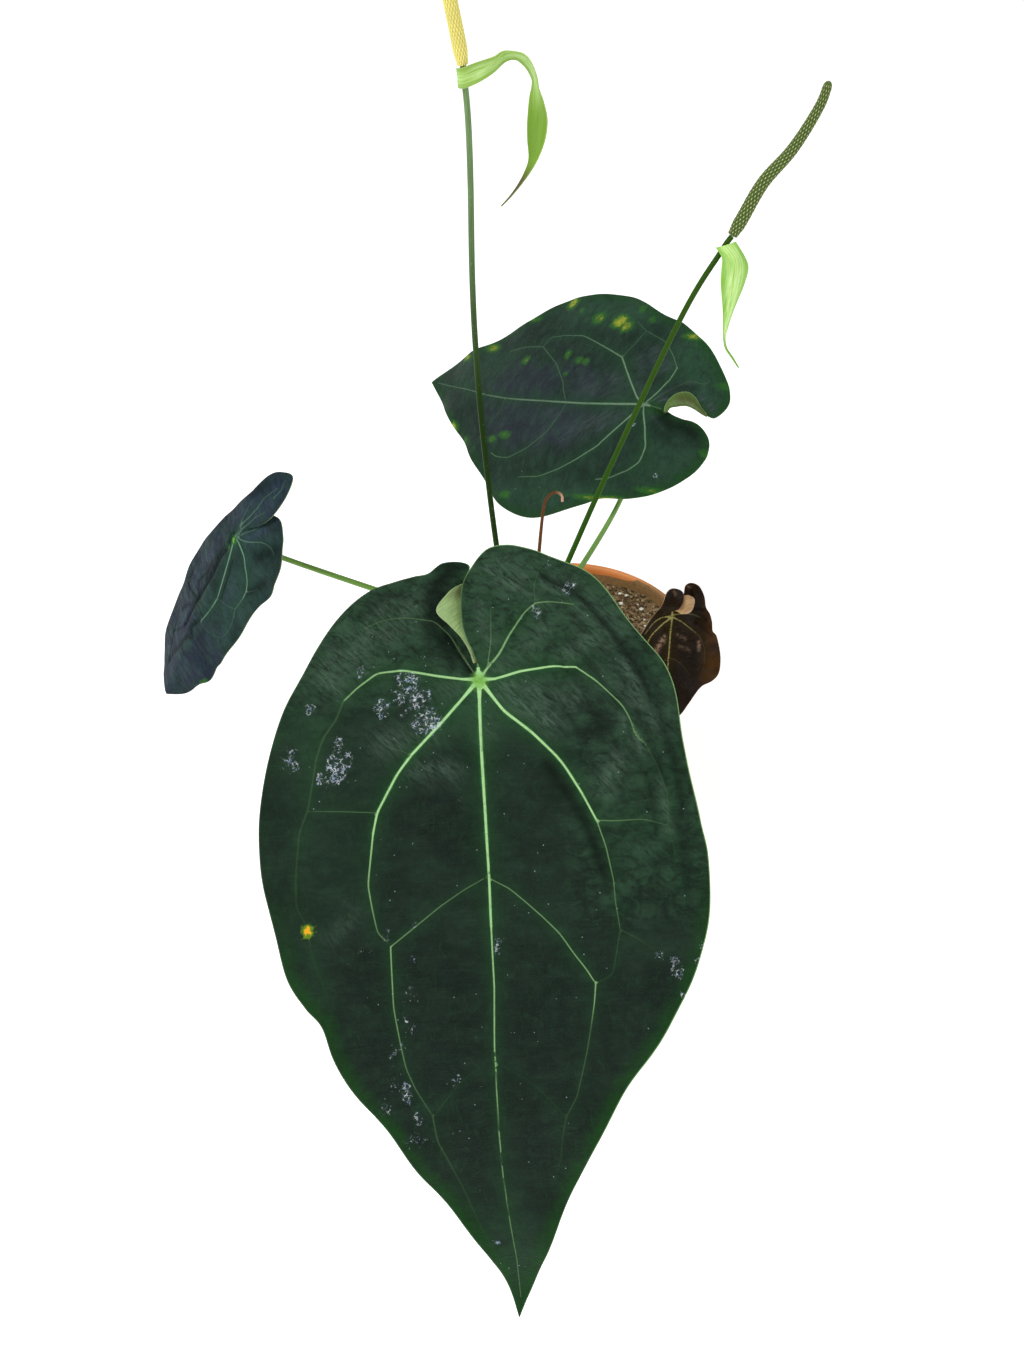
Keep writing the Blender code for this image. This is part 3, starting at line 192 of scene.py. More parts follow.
REAR_LEAF = dict(
    at=(41.7, 92.7, 238.4), heading=146.5, slope=10, droop=14, lobe_droop=40, roll=-52,
    fold=(9, -22), cup=(-2, -2), sway=7, length=200,
    plus=[
        (-5, 0), (-8, 0.2), (-12, 0.3), (-14.5, 1.2), (-17.5, 2.5), (-20.4, 3.4), (-25.4, 4.4), (-31, 4.7),
        (-36.2, 6.5), (-41.2, 10.5), (-44.1, 15), (-45, 20), (-44.5, 25), (-41, 32.5), (-35, 39.5), (-28, 46),
        (-18.5, 52.5), (-5, 57), (9, 58), (19.5, 63), (34.5, 70), (48, 73.5), (60, 74), (72, 71), (84, 65.5),
        (97, 57.5), (110.5, 47.5), (125, 37.5), (144, 28.5), (160.5, 18.5), (182, 10.5), (200, 0),
    ],
    minus=[
        (-5, 0), (-8, 0.9), (-12, 2.2), (-14.6, 3.2), (-15.7, 2), (-16.2, 0.2), (-17.2, -1.4), (-20, -2.5),
        (-25.4, -4.2), (-30.3, -3.4), (-36.2, -0.6), (-40.2, 0.9), (-43.6, 1), (-47, -3), (-49, -8), (-49, -13),
        (-46, -21), (-37.5, -32.5), (-27, -43.5), (-15, -51), (-1.5, -58), (14, -64), (30, -72.5),
        (45.5, -78.5), (63, -80.5), (79, -79), (93.5, -77.5), (107.5, -71.5), (119.5, -59), (138, -49),
        (153, -37.5), (170.5, -28.5), (187, -18), (200, 0),
    ],
    veins=[
        ([(-4, 0), (39, 0.3), (70, -0.3), (105, 0.3), (126, -0.3), (150, -1.5), (192, -1)],
         (0.6, 0.25), (0.85, 0.3)),
        ([(0, 0), (5.7, -4.5), (13.7, -14), (29, -32.8)], (0.45, 0.38), (0.85, 0.8)),
        ([(29, -32.8), (40.5, -38.2), (54.6, -44.2), (66, -48.5), (81.5, -48.5), (93, -47), (95.5, -40)],
         (0.38, 0.22), (0.7, 0.25)),
        ([(0, 0), (-5.3, -8.7), (-9.6, -17.8), (-11.4, -26.8)], (0.42, 0.34), (0.8, 0.8)),
        ([(-11.4, -26.8), (-5.3, -34.6), (5.7, -44.8), (21, -52), (30, -58.7)], (0.3, 0.2), (0.4, 0.15)),
        ([(54, 0), (56.4, -4), (63, -14), (76.6, -27.4), (96, -39.4), (111.4, -38.2), (126, -34)],
         (0.25, 0.28), (0.3, 0.3)),
        ([(0, 0), (6.3, 8), (13.7, 16.6), (21.6, 26.2), (30, 32.8), (34.4, 36.4), (43.6, 42.4),
          (56.4, 47.8), (71, 49.7)], (0.48, 0.22), (0.9, 0.35)),
        ([(0, 0), (-1, 4), (-5.3, 13), (-9, 24.4), (-8.3, 34), (-2.8, 40), (8.2, 45.4), (16, 46.6)],
         (0.46, 0.26), (0.85, 0.6)),
        ([(53, 0), (56.4, 9.3), (61.3, 20.2), (73, 31), (85.7, 38.2), (96, 38.8), (101.6, 37)],
         (0.22, 0.28), (0.2, 0.4)),
        ([(-3, 0), (-7, 0.3), (-12, 1)], (0.3, 0.25), (0.3, 0.2)),
        ([(-2.8, -1.5), (-12.6, -12), (-22, -20), (-32, -19), (-34, -22)], (0.25, 0.22), (0.15, 0.2)),
        ([(106.5, 0.3), (106, 8.7), (113, 18.4)], (0.22, 0.2), (0.2, 0.1)),
        ([(29, -32.8), (25.3, -41), (21, -52)], (0.25, 0.22), (0.3, 0.25)),
    ],
    folds=[
        ([(-14, 6), (-20, 9), (-28, 9), (-34, 12)], 0.3, 4.5, 0.8), ([(-10, 12), (-20, 18)], 0.3, 4.0, 0.4),
        ([(-12, -12), (-18, -15), (-26, -16)], 0.5, 2.5, 0.5),
    ],
    painted_sheen=[
        ([(-2, -2), (-8, -3.4), (-14, -5)], 1.6, 1.0), ([(-3, -4), (-12, -12), (-24, -18)], 3.0, 0.6),
        ([(4, -8), (16, -14), (30, -18)], 5.0, 0.5), ([(8, 4), (24, 16)], 4.0, 0.5),
        ([(-3, 3), (-8, 6), (-13, 9)], 1.0, 0.6),
        ([(-33, -9), (-38, -5), (-43, -1)], 3.0, 1.0), ([(-34, -12), (-31, -19)], 1.2, 0.6),
        ([(20, 4), (34, 14), (44, 20)], 7.0, 0.5), ([(20, -4), (34, -9), (46, -13)], 6.0, 0.4),
        ([(-4, -26), (8, -36)], 5.0, 0.5), ([(8, -20), (16, -32)], 3.0, 0.4), ([(60, 8), (66, 26)], 6.0, 0.35),
    ],
    flap=dict(
        side=-1, radius=1.1, rise=2.2,
        crease=[(-15.1, 2.7), (-15.9, 1.2), (-16.4, -0.2), (-17.2, -1.4), (-20, -2.5), (-25.4, -4.2), (-30.3, -3.4),
                (-36.2, -0.6), (-39, 0.6)],
        free=[(-14.3, 2.4), (-14.2, 0.8), (-14.4, -1.4), (-15.3, -4.6), (-18.4, -9.8), (-24.2, -11.9),
              (-29.8, -9.2), (-35, -3.4), (-38.6, -0.6)],
    ),
    over=-1, lift=1.6, lift_reach=8, wave=(2.0, 7, 1.3), step=1.7,
)
LEFT_LEAF = dict(
    at=(-183.8, -7.0, 218.6), heading=-166, slope=57, droop=9, lobe_droop=30, roll=-30,
    fold=(-5, -21), cup=(0, 0), sway=8, length=127,
    plus=[
        (-4, 0), (-7, -1.5), (-11, -1.5), (-16, 1), (-22, 6), (-27, 12.5), (-28.5, 19), (-23, 25.5), (-18, 29),
        (-9, 36), (5, 37), (17.5, 31.8), (29, 28.8), (43.5, 25.2), (58, 22.7), (68, 21.3),
        (75, 19.5), (86, 20), (95.5, 15.5), (113, 10), (127, 0),
    ],
    minus=[
        (-4, 0), (-6, 1.2), (-9.5, 4), (-14, 8), (-22, 13.5), (-32, 17), (-43, 16.5), (-51.5, 12),
        (-49, 5.5), (-43, 1), (-28, -3.5), (-11.5, -12.5), (13, -24.5), (29.5, -34.5), (47, -39),
        (61, -37.5), (77, -40.5), (94.5, -37), (111.5, -32), (125, -19), (127, 0),
    ],
    veins=[
        ([(-2, 1), (4, 2), (13.4, 2.1), (21.6, 2.1), (30.3, 2.1), (37.2, 2.1), (48.5, -0.3), (59.2, -3.4)],
         (0.38, 0.2), (0.9, 0.8)),
        ([(59.2, -3.4), (75, -6), (95, -6), (118, -2)], (0.3, 0.2), (0.06, 0.0)),
        ([(-1.7, 1.5), (-0.4, 6.4), (2.7, 11.9), (7.1, 14.4), (12.8, 18.7), (18.4, 19.9), (22, 19.5)],
         (0.38, 0.28), (0.9, 0.7)),
        ([(22, 19.5), (27.2, 18.1), (32.2, 16.2), (38.5, 16.8), (47.9, 16.8), (55.4, 13.8)],
         (0.22, 0.15), (0.4, 0.1)),
        ([(59.2, -3.4), (60.5, 2), (59.2, 7), (55.4, 13.8)], (0.2, 0.15), (0.2, 0.1)),
        ([(37.2, 2.1), (36, 6), (35.4, 10.1), (32.2, 16.2)], (0.22, 0.2), (0.15, 0.2)),
        ([(18.4, 19.9), (14, 24), (10, 28)], (0.2, 0.2), (0.25, 0.0)),
        ([(-2.3, 2.8), (-4.2, 7.7), (-6.7, 11.3), (-11.7, 16.8), (-13.6, 21.7), (-12, 27)], (0.3, 0.2), (0.55, 0.15)),
        ([(-2.5, 2), (-8.6, 2.8), (-14.2, 5.2), (-20.5, 7), (-27, 11)], (0.25, 0.2), (0.5, 0.1)),
        ([(-2.5, 1.5), (-11.1, 1.5), (-18.6, 4), (-25.5, 5.8), (-33, 6.4), (-41, 9)], (0.25, 0.2), (0.5, 0.2)),
        ([(-2.5, 2.5), (-8.6, 5.8), (-13.3, 8.9), (-19, 11)], (0.22, 0.2), (0.5, 0.1)),
        ([(-2.5, 0.9), (-11.1, 0.3), (-18.6, 0.3), (-28, 1)], (0.22, 0.2), (0.4, 0.05)),
        ([(6, 0.2), (17, -3.2), (27, -4.6), (40, -8), (52, -8.5)], (0.2, 0.18), (0.12, 0.1)),
        ([(-36, 11), (-42, 12), (-47, 10)], (0.3, 0.2), (0.3, 0.1)),
    ],
    folds=[
        ([(-2, -1.2), (7, -1.6), (17, -5.2), (27, -6.6), (40, -10.2), (50, -12.6), (61, -14.4), (74, -16)],
         1.2, 1.5, 0.9),
        ([(12, -6), (24, -10), (36, -13.5)], 0.3, 3.0, 0.8), ([(32, -12.6), (37, -16.6), (44, -20)], 0.5, 0.9, 0.9),
        ([(44, -20), (46, -16), (50, -13.5)], 0.4, 0.9, 0.8), ([(56, -31), (54, -21), (50, -13.2)], 0.6, 1.1, 0.9),
        ([(50, -13), (59, -17), (64, -22), (74, -27)], 0.5, 1.0, 0.7),
        ([(36, -30), (46, -32), (54, -30)], 0.4, 1.0, 0.5),
        ([(60, -5), (68, -8), (73, -5), (79, -9), (88, -10), (102, -15), (114, -16)], 0.6, 1.4, 0.8),
        ([(84, -28), (98, -22), (112, -16)], 0.5, 1.0, 0.5), ([(66, -12), (80, -18), (92, -26)], 0.5, 0.8, 0.6),
        ([(10, 4.8), (22, 5), (36, 4.6)], 0.3, 0.7, 0.8), ([(4, 30), (11, 26), (17, 21.5)], 0.3, 2.4, 0.75),
        ([(-4, 20), (-14, 26)], 0.3, 3.5, 0.7), ([(40, 20), (48, 22)], 0.2, 3.5, 0.4),
        ([(-30, -2), (-38, 3)], 0.2, 4.0, 0.5), ([(70, 4), (78, 12)], 0.2, 5.0, 0.4),
    ],
    painted_sheen=[
        ([(-8, 8), (-18, 14)], 4.0, 0.6), ([(-14, -2), (-28, 2), (-36, 6)], 2.5, 0.5),
        ([(-40, 14), (-46, 10)], 1.5, 0.7), ([(58, -18), (74, -20), (90, -18)], 3.0, 0.4),
        ([(44, -26), (50, -24)], 2.5, 0.5), ([(24, 10), (34, 8)], 2.5, 0.35),
        ([(-12, 4), (-28, 8), (-42, 8)], 7.0, 0.5), ([(60, -10), (56, 6), (50, 18)], 2.5, 0.3),
        ([(96, -6), (110, -8)], 5.0, 0.3), ([(20, -14), (30, -22)], 3.0, 0.4),
    ],
    over=-1, lift=3.0, lift_reach=30, wave=(0.8, 6, 2.2), step=1.3,
)
YOUNG_LEAF = dict(
    at=(49.2, -38.4, 191.1), heading=-93, slope=52, droop=15, lobe_droop=10, roll=0,
    fold=(-8, 4), cup=(-10, -10), sway=0, length=62,
    plus=[
        (-2, 0), (-2.5, 2), (-3.2, 3.9), (-5.2, 4.8), (-8, 5.4), (-10.6, 5.8), (-13, 6.2), (-15.8, 6.5),
        (-17.5, 8.6), (-17.2, 11.8), (-15.2, 14.5), (-10.3, 17.2), (-4.5, 18.6), (-1.4, 20.6), (2.6, 21.8),
        (7.5, 22.4), (10.2, 24.8), (17.6, 27.3), (24, 28), (31, 27.2), (35.5, 24), (38.5, 18.7), (42.5, 15),
        (48, 11.5), (54.5, 8), (62, 0),
    ],
    minus=[
        (-2, 0), (-3, 2.4), (-5, 4.2), (-7.6, 5.3), (-11.5, 5.4), (-13.7, 3.4), (-14.4, -1), (-11.8, -4),
        (-5.7, -5.8), (-1.4, -8.4), (5, -13.2), (14, -18), (25, -22), (36, -20), (46, -14), (55, -6), (62, 0),
    ],
    veins=[
        ([(-2, 0), (9.6, -0.5), (21.2, -0.6), (40, -0.8), (58, 0)], (0.38, 0.15), (1.0, 0.5)),
        ([(0.7, 0.3), (2.9, 5.2), (6.2, 9.7), (9, 13.5)], (0.28, 0.18), (0.8, 0.4)),
        ([(9, 13.5), (11.1, 16), (17.9, 19), (27.7, 19), (33.2, 17.5)], (0.18, 0.12), (0.15, 0.05)),
        ([(-0.5, 0.7), (-1.1, 4.9), (-1.1, 10.9), (1.3, 16.9)], (0.28, 0.15), (0.6, 0.1)),
        ([(22.5, -0.6), (24, 4), (27.7, 8.5), (32, 11.2)], (0.18, 0.12), (0.15, 0.05)),
        ([(1.3, -1), (5.9, -6.1), (10.8, -10.9), (18.5, -13.6), (27, -15)], (0.34, 0.18), (1.0, 0.6)),
        ([(0.4, -1), (0.7, -4), (2.6, -7.9), (5, -10.6), (10, -14)], (0.3, 0.18), (0.95, 0.4)),
        ([(22, -0.6), (28, -6), (36, -9)], (0.2, 0.15), (0.2, 0.1)),
    ],
    folds=[
        ([(-3, 6), (-1, 12), (2, 19)], 0.5, 1.4, 0.8), ([(2, 10), (6, 16), (10, 22)], 0.4, 1.0, 0.5),
        ([(12, 5), (14, 12), (18, 17)], 0.3, 1.0, 0.4), ([(8, -4), (14, -7)], 0.3, 1.2, 0.5),
    ],
    painted_sheen=[
        ([(13, -4.6), (19, -7.4), (25, -7.8)], 1.1, 1.0), ([(11, -3.4), (14, -3.8)], 0.8, 0.9),
        ([(13.5, 15.2), (18, 15.8)], 0.7, 1.0), ([(10, 3), (12, 8)], 0.8, 0.35), ([(16, 4), (18, 10)], 0.8, 0.3),
        ([(-16, 8), (-15, 9)], 0.6, 0.6), ([(-13, 0), (-11, 1)], 0.6, 0.5),
    ],
    flap=dict(
        side=1, radius=0.7, rise=1.0,
        crease=[(-2.4, 2.2), (-3.2, 3.9), (-5.2, 4.8), (-8, 5.4), (-10.6, 5.8)],
        free=[(-1.2, 4.6), (-1.7, 8.8), (-4.8, 11.3), (-9.2, 11.5), (-11, 8.2)],
    ),
    over=-1, lift=1.8, lift_reach=3, wave=(1.6, 5, 0.9), step=0.9,
)

# Stalks and spadices: centre lines
FRONT_STALK = [(-27, -7, 130), (-28.5, -12, 150), (-34, -36, 205), (-41, -76, 240), (-46, -122, 252)]
REAR_STALK = [
    (-18, 9, 130), (-12, 15, 149), (5.7, 29, 169.7), (30.5, 74, 184), (40, 99, 204), (42.3, 99, 224),
]
LEFT_STALK = [(-33, -3, 130), (-42, -4, 146), (-75, -4, 163), (-111, -4.5, 179.5), (-160, -3.5, 201.6)]
YOUNG_STALK = [(-17, -4, 130), (-8, -11, 139), (15, -21, 146), (36, -32.5, 158), (46.5, -35, 176)]
LEFT_PEDUNCLE = [
    (-34, 4, 130), (-37.8, 4, 160), (-44, 4, 204), (-49.9, 4, 271.5), (-52.5, 4, 320), (-53.2, 4, 355),
    (-52.8, 4, 395), (-53.1, 4, 420), (-54.5, 4, 438.2),
]
RIGHT_PEDUNCLE = [
    (-23, 5, 130), (-16, 4.5, 155), (-3.9, 4, 195), (14, 3, 254), (40.7, 1, 336.5), (54.6, 0, 368),
    (58.2, 0, 374.5),
]
SPROUT = [
    (-25, 0, 130), (-23, 1.5, 150), (-20.7, 4, 199), (-18.7, 6, 228), (-15.9, 9.5, 233.6),
    (-12.2, 10.4, 235.2), (-9.2, 9.2, 234.2), (-8.8, 6.5, 232),
]
LEFT_SPADIX = [
    (-54.6, 4, 438.6), (-56.2, 4, 448), (-58.6, 4, 460), (-62.6, 3.5, 480), (-66.4, 3, 497), (-68, 3, 508),
]
RIGHT_SPADIX = [
    (58.5, 0, 375.2), (61.5, 0, 382), (67.8, 0, 396.5), (77.4, 0, 409.5), (84.7, 0, 424.7), (86.7, 0, 434),
]
SPADIX_RADIUS = 2.7
SPADIX_RINGS = 210
SPADIX_SIDES = 84

# Spathes: stations of (centre, half width vector, camber), from the collar to the tail's end
LEFT_SPATHE = [
    ((-53.4, 6.4, 433.4), (-0.2, 0, 3.2), 0.0), ((-56.8, 4.6, 433.8), (-0.2, 0, 3.4), 0.0),
    ((-54.4, 1.4, 434.6), (-0.3, 0, 3.6), 0.0), ((-49, 0, 436.8), (-0.3, 0, 3.5), 0.6),
    ((-42.8, -1, 439.6), (0.1, -1, 3.1), 1.0), ((-38.6, -2, 442.7), (-0.5, -1.5, 2.2), 1.0),
    ((-34.9, -3, 443.4), (-0.3, -2, 1.9), 0.9), ((-31.6, -4, 442.6), (0.5, -3, 2.3), 0.8),
    ((-29.1, -5, 440.4), (0.8, -4, 2.2), 0.8), ((-27.2, -6, 436.6), (0.8, -4.4, 1.6), 0.9),
    ((-26.8, -6, 433.2), (1.3, -4, 1.0), 1.0), ((-26.3, -6, 429.1), (2.7, -3, 0.5), 1.2),
    ((-25.8, -6, 421.7), (3.9, -2, 0.9), 1.4), ((-26.1, -5.5, 414.6), (3.5, -1.5, 0.5), 1.2),
    ((-27.1, -5, 407.7), (1.9, -1.5, 0.4), 0.8), ((-29.4, -5, 402.6), (0.9, -0.9, -0.3), 0.3),
    ((-32.6, -5, 397.6), (0.4, -0.5, -0.3), 0.0), ((-36.4, -5, 392.9), (0.2, -0.3, -0.2), 0.0),
    ((-40.1, -5, 389.1), (0.1, -0.2, -0.1), 0.0),
]
RIGHT_SPATHE = [
    ((56.0, -1.2, 371.6), (-4.0, 0.3, -1.4), 0.9), ((59.6, -2.9, 367), (-5.0, -0.6, 0), 1.4),
    ((60.8, -4.2, 362.6), (-6.1, -1.4, 0.4), 1.8), ((60.7, -4.4, 356.4), (-5.6, -1.5, 1.4), 1.8),
    ((60.7, -4, 349.4), (-4.1, -1.5, 1.4), 1.4), ((60.8, -3.4, 342.2), (-2.5, -1.2, 1.2), 0.9),
    ((61, -2.8, 335.3), (-1.4, -0.8, 0.7), 0.5), ((61.4, -2.3, 329.4), (-0.6, -0.5, 0.1), 0.2),
    ((63, -2, 324.3), (-0.4, -0.2, -0.2), 0.0), ((66.6, -2, 319.6), (-0.3, -0.1, -0.3), 0.0),
    ((70.3, -2, 314.5), (-0.2, -0.1, -0.2), 0.0),
]


# Materials


class Paint:
    """A material with short calls for its nodes."""

    def __init__(self, name, **sockets):
        self.material = bpy.data.materials.new(name)
        self.material.use_nodes = True
        self.tree = self.material.node_tree
        self.shader = self.tree.nodes["Principled BSDF"]
        for key, value in sockets.items():
            self.put(self.shader.inputs[key.replace("_", " ")], value)

    def put(self, socket, value):
        if isinstance(value, bpy.types.NodeSocket):
            self.tree.links.new(value, socket)
        elif socket.type == "RGBA":
            socket.default_value = (*value[:3], 1.0)
        else:
            socket.default_value = value

    def node(self, kind, inputs=None, **settings):
        made = self.tree.nodes.new("ShaderNode" + kind)
        for key, value in settings.items():
            setattr(made, key, value)
        for key, value in (inputs or {}).items():
            self.put(made.inputs[key], value)
        return made

    def field(self, name):
        return self.node("Attribute", attribute_name=name).outputs["Fac"]

    def place(self, name="flat", stretch=(1, 1, 1), turn=0.0):
        vector = self.node("Attribute", attribute_name=name).outputs["Vector"]
        if turn:
            vector = self.node("Mapping", {"Vector": vector, "Rotation": (0, 0, turn)}).outputs[0]
        if tuple(stretch) == (1, 1, 1):
            return vector
        return self.node("Mapping", {"Vector": vector, "Scale": stretch}).outputs[0]

    def calc(self, operation, a, b=0.0):
        return self.node("Math", {0: a, 1: b}, operation=operation).outputs[0]

    def plus(self, a, b):
        return self.calc("ADD", a, b)

    def minus(self, a, b):
        return self.calc("SUBTRACT", a, b)

    def times(self, a, b):
        return self.calc("MULTIPLY", a, b)

    def most(self, a, b):
        return self.calc("MAXIMUM", a, b)

    def scaled(self, value, factor, offset):
        return self.plus(self.times(value, factor), offset)

    def swing(self, noise_value, size):
        """A noise about zero: it lies between minus and plus half the size."""
        return self.times(self.minus(noise_value, 0.5), size)

    def band(self, value, low, high, start=0.0, end=1.0):
        sockets = {"Value": value, "From Min": low, "From Max": high, "To Min": start, "To Max": end}
        return self.node("MapRange", sockets, interpolation_type="SMOOTHSTEP").outputs[0]

    def mix(self, factor, a, b):
        made = self.node("Mix", data_type="RGBA")
        for number, value in ((0, factor), (6, a), (7, b)):
            self.put(made.inputs[number], value)
        return made.outputs[2]

    def noise(self, place, size, detail=3.0, roughness=0.5, warp=0.0):
        sockets = {"Vector": place, "Scale": 1 / size, "Detail": detail, "Roughness": roughness,
                   "Distortion": warp}
        return self.node("TexNoise", sockets).outputs["Fac"]

    def cells(self, place, size, feature="F1"):
        """Irregular cells about one size across: distance to their middles or edges, and their tones."""
        made = self.node("TexVoronoi", {"Vector": place, "Scale": 1 / size}, feature=feature)
        return made.outputs["Distance"], made.outputs.get("Color")

    def cell_edge(self, place, size):
        return self.cells(place, size, "DISTANCE_TO_EDGE")[0]

    def warped(self, place, size, amount):
        """The place, pushed to and fro by a noise, to bend regular cells."""
        push = self.node("TexNoise", {"Vector": place, "Scale": 1 / size, "Detail": 2.0}).outputs["Color"]
        push = self.node("VectorMath", {0: push, 1: (0.5, 0.5, 0.5)}, operation="SUBTRACT").outputs[0]
        push = self.node("VectorMath", {0: push, "Scale": amount}, operation="SCALE").outputs[0]
        return self.node("VectorMath", {0: place, 1: push}, operation="ADD").outputs[0]

    def bump(self, height, strength, distance):
        sockets = {"Strength": strength, "Distance": distance * MM, "Height": height}
        return self.node("Bump", sockets).outputs[0]

    def finish(self, colour, roughness=None, normal=None):
        self.put(self.shader.inputs["Base Color"], colour)
        if roughness is not None:
            self.put(self.shader.inputs["Roughness"], roughness)
        if normal is not None:
            self.put(self.shader.inputs["Normal"], normal)
        return self.material


def body_place(paint, stretch=(1, 1, 1)):
    """Object coordinates in millimetres."""
    vector = paint.node("TexCoord").outputs["Object"]
    return paint.node("Mapping", {"Vector": vector, "Scale": [s / MM for s in stretch]}).outputs[0]


def toned(colour, factor):
    """The same colour, lighter or darker."""
    return [factor * c for c in colour]


def velvet(name, base, cool, green, vein, margin, painted_sheen, specular=0.05, sheen=0.03, spots=()):
    """A velvety upper face: dark brushed ground, a green glow by the veins, crisp pale vein cores."""
    p = Paint(name, Specular_IOR_Level=specular, Sheen_Weight=sheen, Sheen_Roughness=0.4,
              Sheen_Tint=(0.8, 0.95, 0.9))
    # The ground: mottled, cooler and greener in places, and brushed across. On the rear and left leaves
    # the cooled field lays a painted bluish sheen.
    flat = p.place()
    deep = toned(base, 0.5)
    mottled = p.noise(flat, 7.5, 4, 0.62, 0.7)
    coolness = p.plus(p.noise(flat, 40, 3, 0.55), p.field("cooled"))
    colour = p.mix(p.band(coolness, 0.38, 0.62), base, cool)
    colour = p.mix(p.band(p.noise(flat, 20, 4, 0.6, 0.6), 0.45, 0.72, 0.0, 0.65), colour, deep)
    fresh = p.mix(0.5, toned(base, 2.3), toned(green, 1.3))
    cloudy = p.times(p.field("fresh"), p.band(mottled, 0.25, 0.6, 0.45, 1.0))
    colour = p.mix(cloudy, colour, fresh)
    brushed = p.noise(p.place(stretch=(1, 0.14, 1)), 1.7, 6, 0.7, 1.3)
    rumple = p.field("rumple")
    lines = p.times(p.band(brushed, 0.48, 0.68), p.band(mottled, 0.3, 0.65, 0.2, 1.0))
    lines = p.times(lines, p.band(rumple, 0.0, 0.9, 0.25, 1.0))
    colour = p.mix(lines, colour, toned(base, 2.2))
    colour = p.mix(p.times(p.band(brushed, 0.47, 0.30), p.band(rumple, 0.0, 0.9, 0.3, 0.7)), colour, deep)
    # Quilting and creases, where the leaf is rumpled: painted highlights on the swells and crepe ridges,
    # painted shade in the creases and crepe hollows
    pillow = p.node("Mapping", {"Vector": p.warped(flat, 9.0, 9.0), "Scale": (1, 0.55, 1)}).outputs[0]
    swell = p.times(p.band(p.cells(pillow, 6.5)[0], 0.7, 0.15), rumple)
    crease = p.times(p.band(p.cell_edge(pillow, 6.5), 0.16, 0.0), rumple)
    colour = p.mix(p.times(swell, p.band(mottled, 0.3, 0.6, 0.4, 1.0)), colour,
                   [2.1 * b + 0.35 * g for b, g in zip(base, green)])
    colour = p.mix(p.times(crease, p.band(mottled, 0.35, 0.6, 0.85, 0.3)), colour, deep)
    creped = p.noise(p.place(stretch=(1, 0.5, 1), turn=0.35), 4.5, 4, 0.62, 2.2)
    crepe_highlight = p.times(p.band(creped, 0.5, 0.7, 0.0, 0.7), rumple)
    colour = p.mix(crepe_highlight, colour, [1.9 * b + 0.55 * g for b, g in zip(base, green)])
    colour = p.mix(p.times(p.band(creped, 0.47, 0.30, 0.0, 0.8), rumple), colour, deep)
    # Smudges, grain, and the painted sheen where light catches the velvet
    smudge = p.noise(p.place(stretch=(0.5, 1, 1)), 3.2, 5, 0.7, 0.8)
    colour = p.mix(p.band(smudge, 0.52, 0.75, 0.0, 0.5), colour, [0.6 * a + 0.6 * b for a, b in zip(green, base)])
    grain = p.noise(flat, 0.6, 3, 0.7)
    colour = p.mix(p.band(grain, 0.42, 0.68, 0.0, 0.3), colour, toned(base, 2.0))
    swept = p.noise(p.place(stretch=(0.22, 1, 1), turn=-0.8), 1.5, 5, 0.7, 0.9)
    sheen_strength = p.times(p.field("sheen_strength"), p.band(swept, 0.36, 0.64, 0.05, 1.0))
    colour = p.mix(sheen_strength, colour, painted_sheen)
    net = p.cell_edge(p.place(stretch=(1, 0.7, 1)), 6.0)
    web = p.times(p.band(net, 0.07, 0.0), p.band(mottled, 0.4, 0.6, 0.0, 1.0))
    colour = p.mix(p.times(web, 0.06), colour, toned(green, 1.5))
    # The glow by the veins, the margin, the painted shade in the folds, and the vein cores
    glow = p.times(p.field("glow"), p.band(mottled, 0.25, 0.7, 0.65, 1.0))
    colour = p.mix(glow, colour, green)
    colour = p.mix(p.band(glow, 0.5, 1.0, 0.0, 0.9), colour, toned(green, 2.6))
    edge = p.field("margin")
    reach = p.plus(edge, p.swing(p.noise(flat, 4, 4, 0.65), 7.0))
    band = p.times(p.band(reach, 8.0, 0.5), p.field("rimmed"))
    colour = p.mix(p.times(band, p.band(mottled, 0.3, 0.6, 0.5, 1.0)), colour, margin[0])
    colour = p.mix(p.times(p.band(edge, 0.55, 0.1), p.field("edged")), colour, margin[1])
    crease_shade = p.times(p.field("fold_shade"), p.band(mottled, 0.2, 0.5, 0.6, 1.0))
    colour = p.mix(crease_shade, colour, toned(base, 0.32))
    core = p.band(p.field("core"), 0.2, -0.18)
    worn_vein = p.times(p.field("bright"), p.band(p.noise(flat, 3.5, 3, 0.7), 0.25, 0.5, 0.75, 1.0))
    colour = p.mix(p.times(core, worn_vein), colour, vein)
    # Whitish residue in flakes and threads, and lone specks of dust
    flecks = p.noise(p.place(stretch=(0.8, 1, 1), turn=0.7), 3.2, 5, 0.82, 0.5)
    worn = p.plus(flecks, p.times(p.field("residue"), 0.42))
    worn = p.plus(worn, p.swing(p.noise(flat, 4.5, 2), 0.35))
    threads = p.band(p.cell_edge(p.warped(flat, 2.0, 2.4), 1.7), 0.15, 0.04, 0.0, 0.8)
    fine = p.most(threads, p.band(p.noise(flat, 0.8, 3, 0.75), 0.56, 0.64))
    fine = p.times(fine, p.band(p.noise(flat, 2.4, 3, 0.7), 0.43, 0.56, 0.05, 1.0))
    flakes = p.times(p.band(worn, 0.82, 0.90), fine)
    blue = p.mix(p.band(p.noise(flat, 1.4, 2), 0.4, 0.6), (0.28, 0.37, 0.56), (0.85, 0.88, 0.90))
    colour = p.mix(p.times(flakes, 0.9), colour, blue)
    middle, tone = p.cells(flat, 3.2)
    lone = p.band(p.node("SeparateColor", {0: tone}).outputs[0], 0.72, 0.76)
    dot = p.times(p.band(middle, 0.09, 0.04), lone)
    colour = p.mix(p.times(dot, p.field("dusty")), colour, (0.30, 0.36, 0.36))
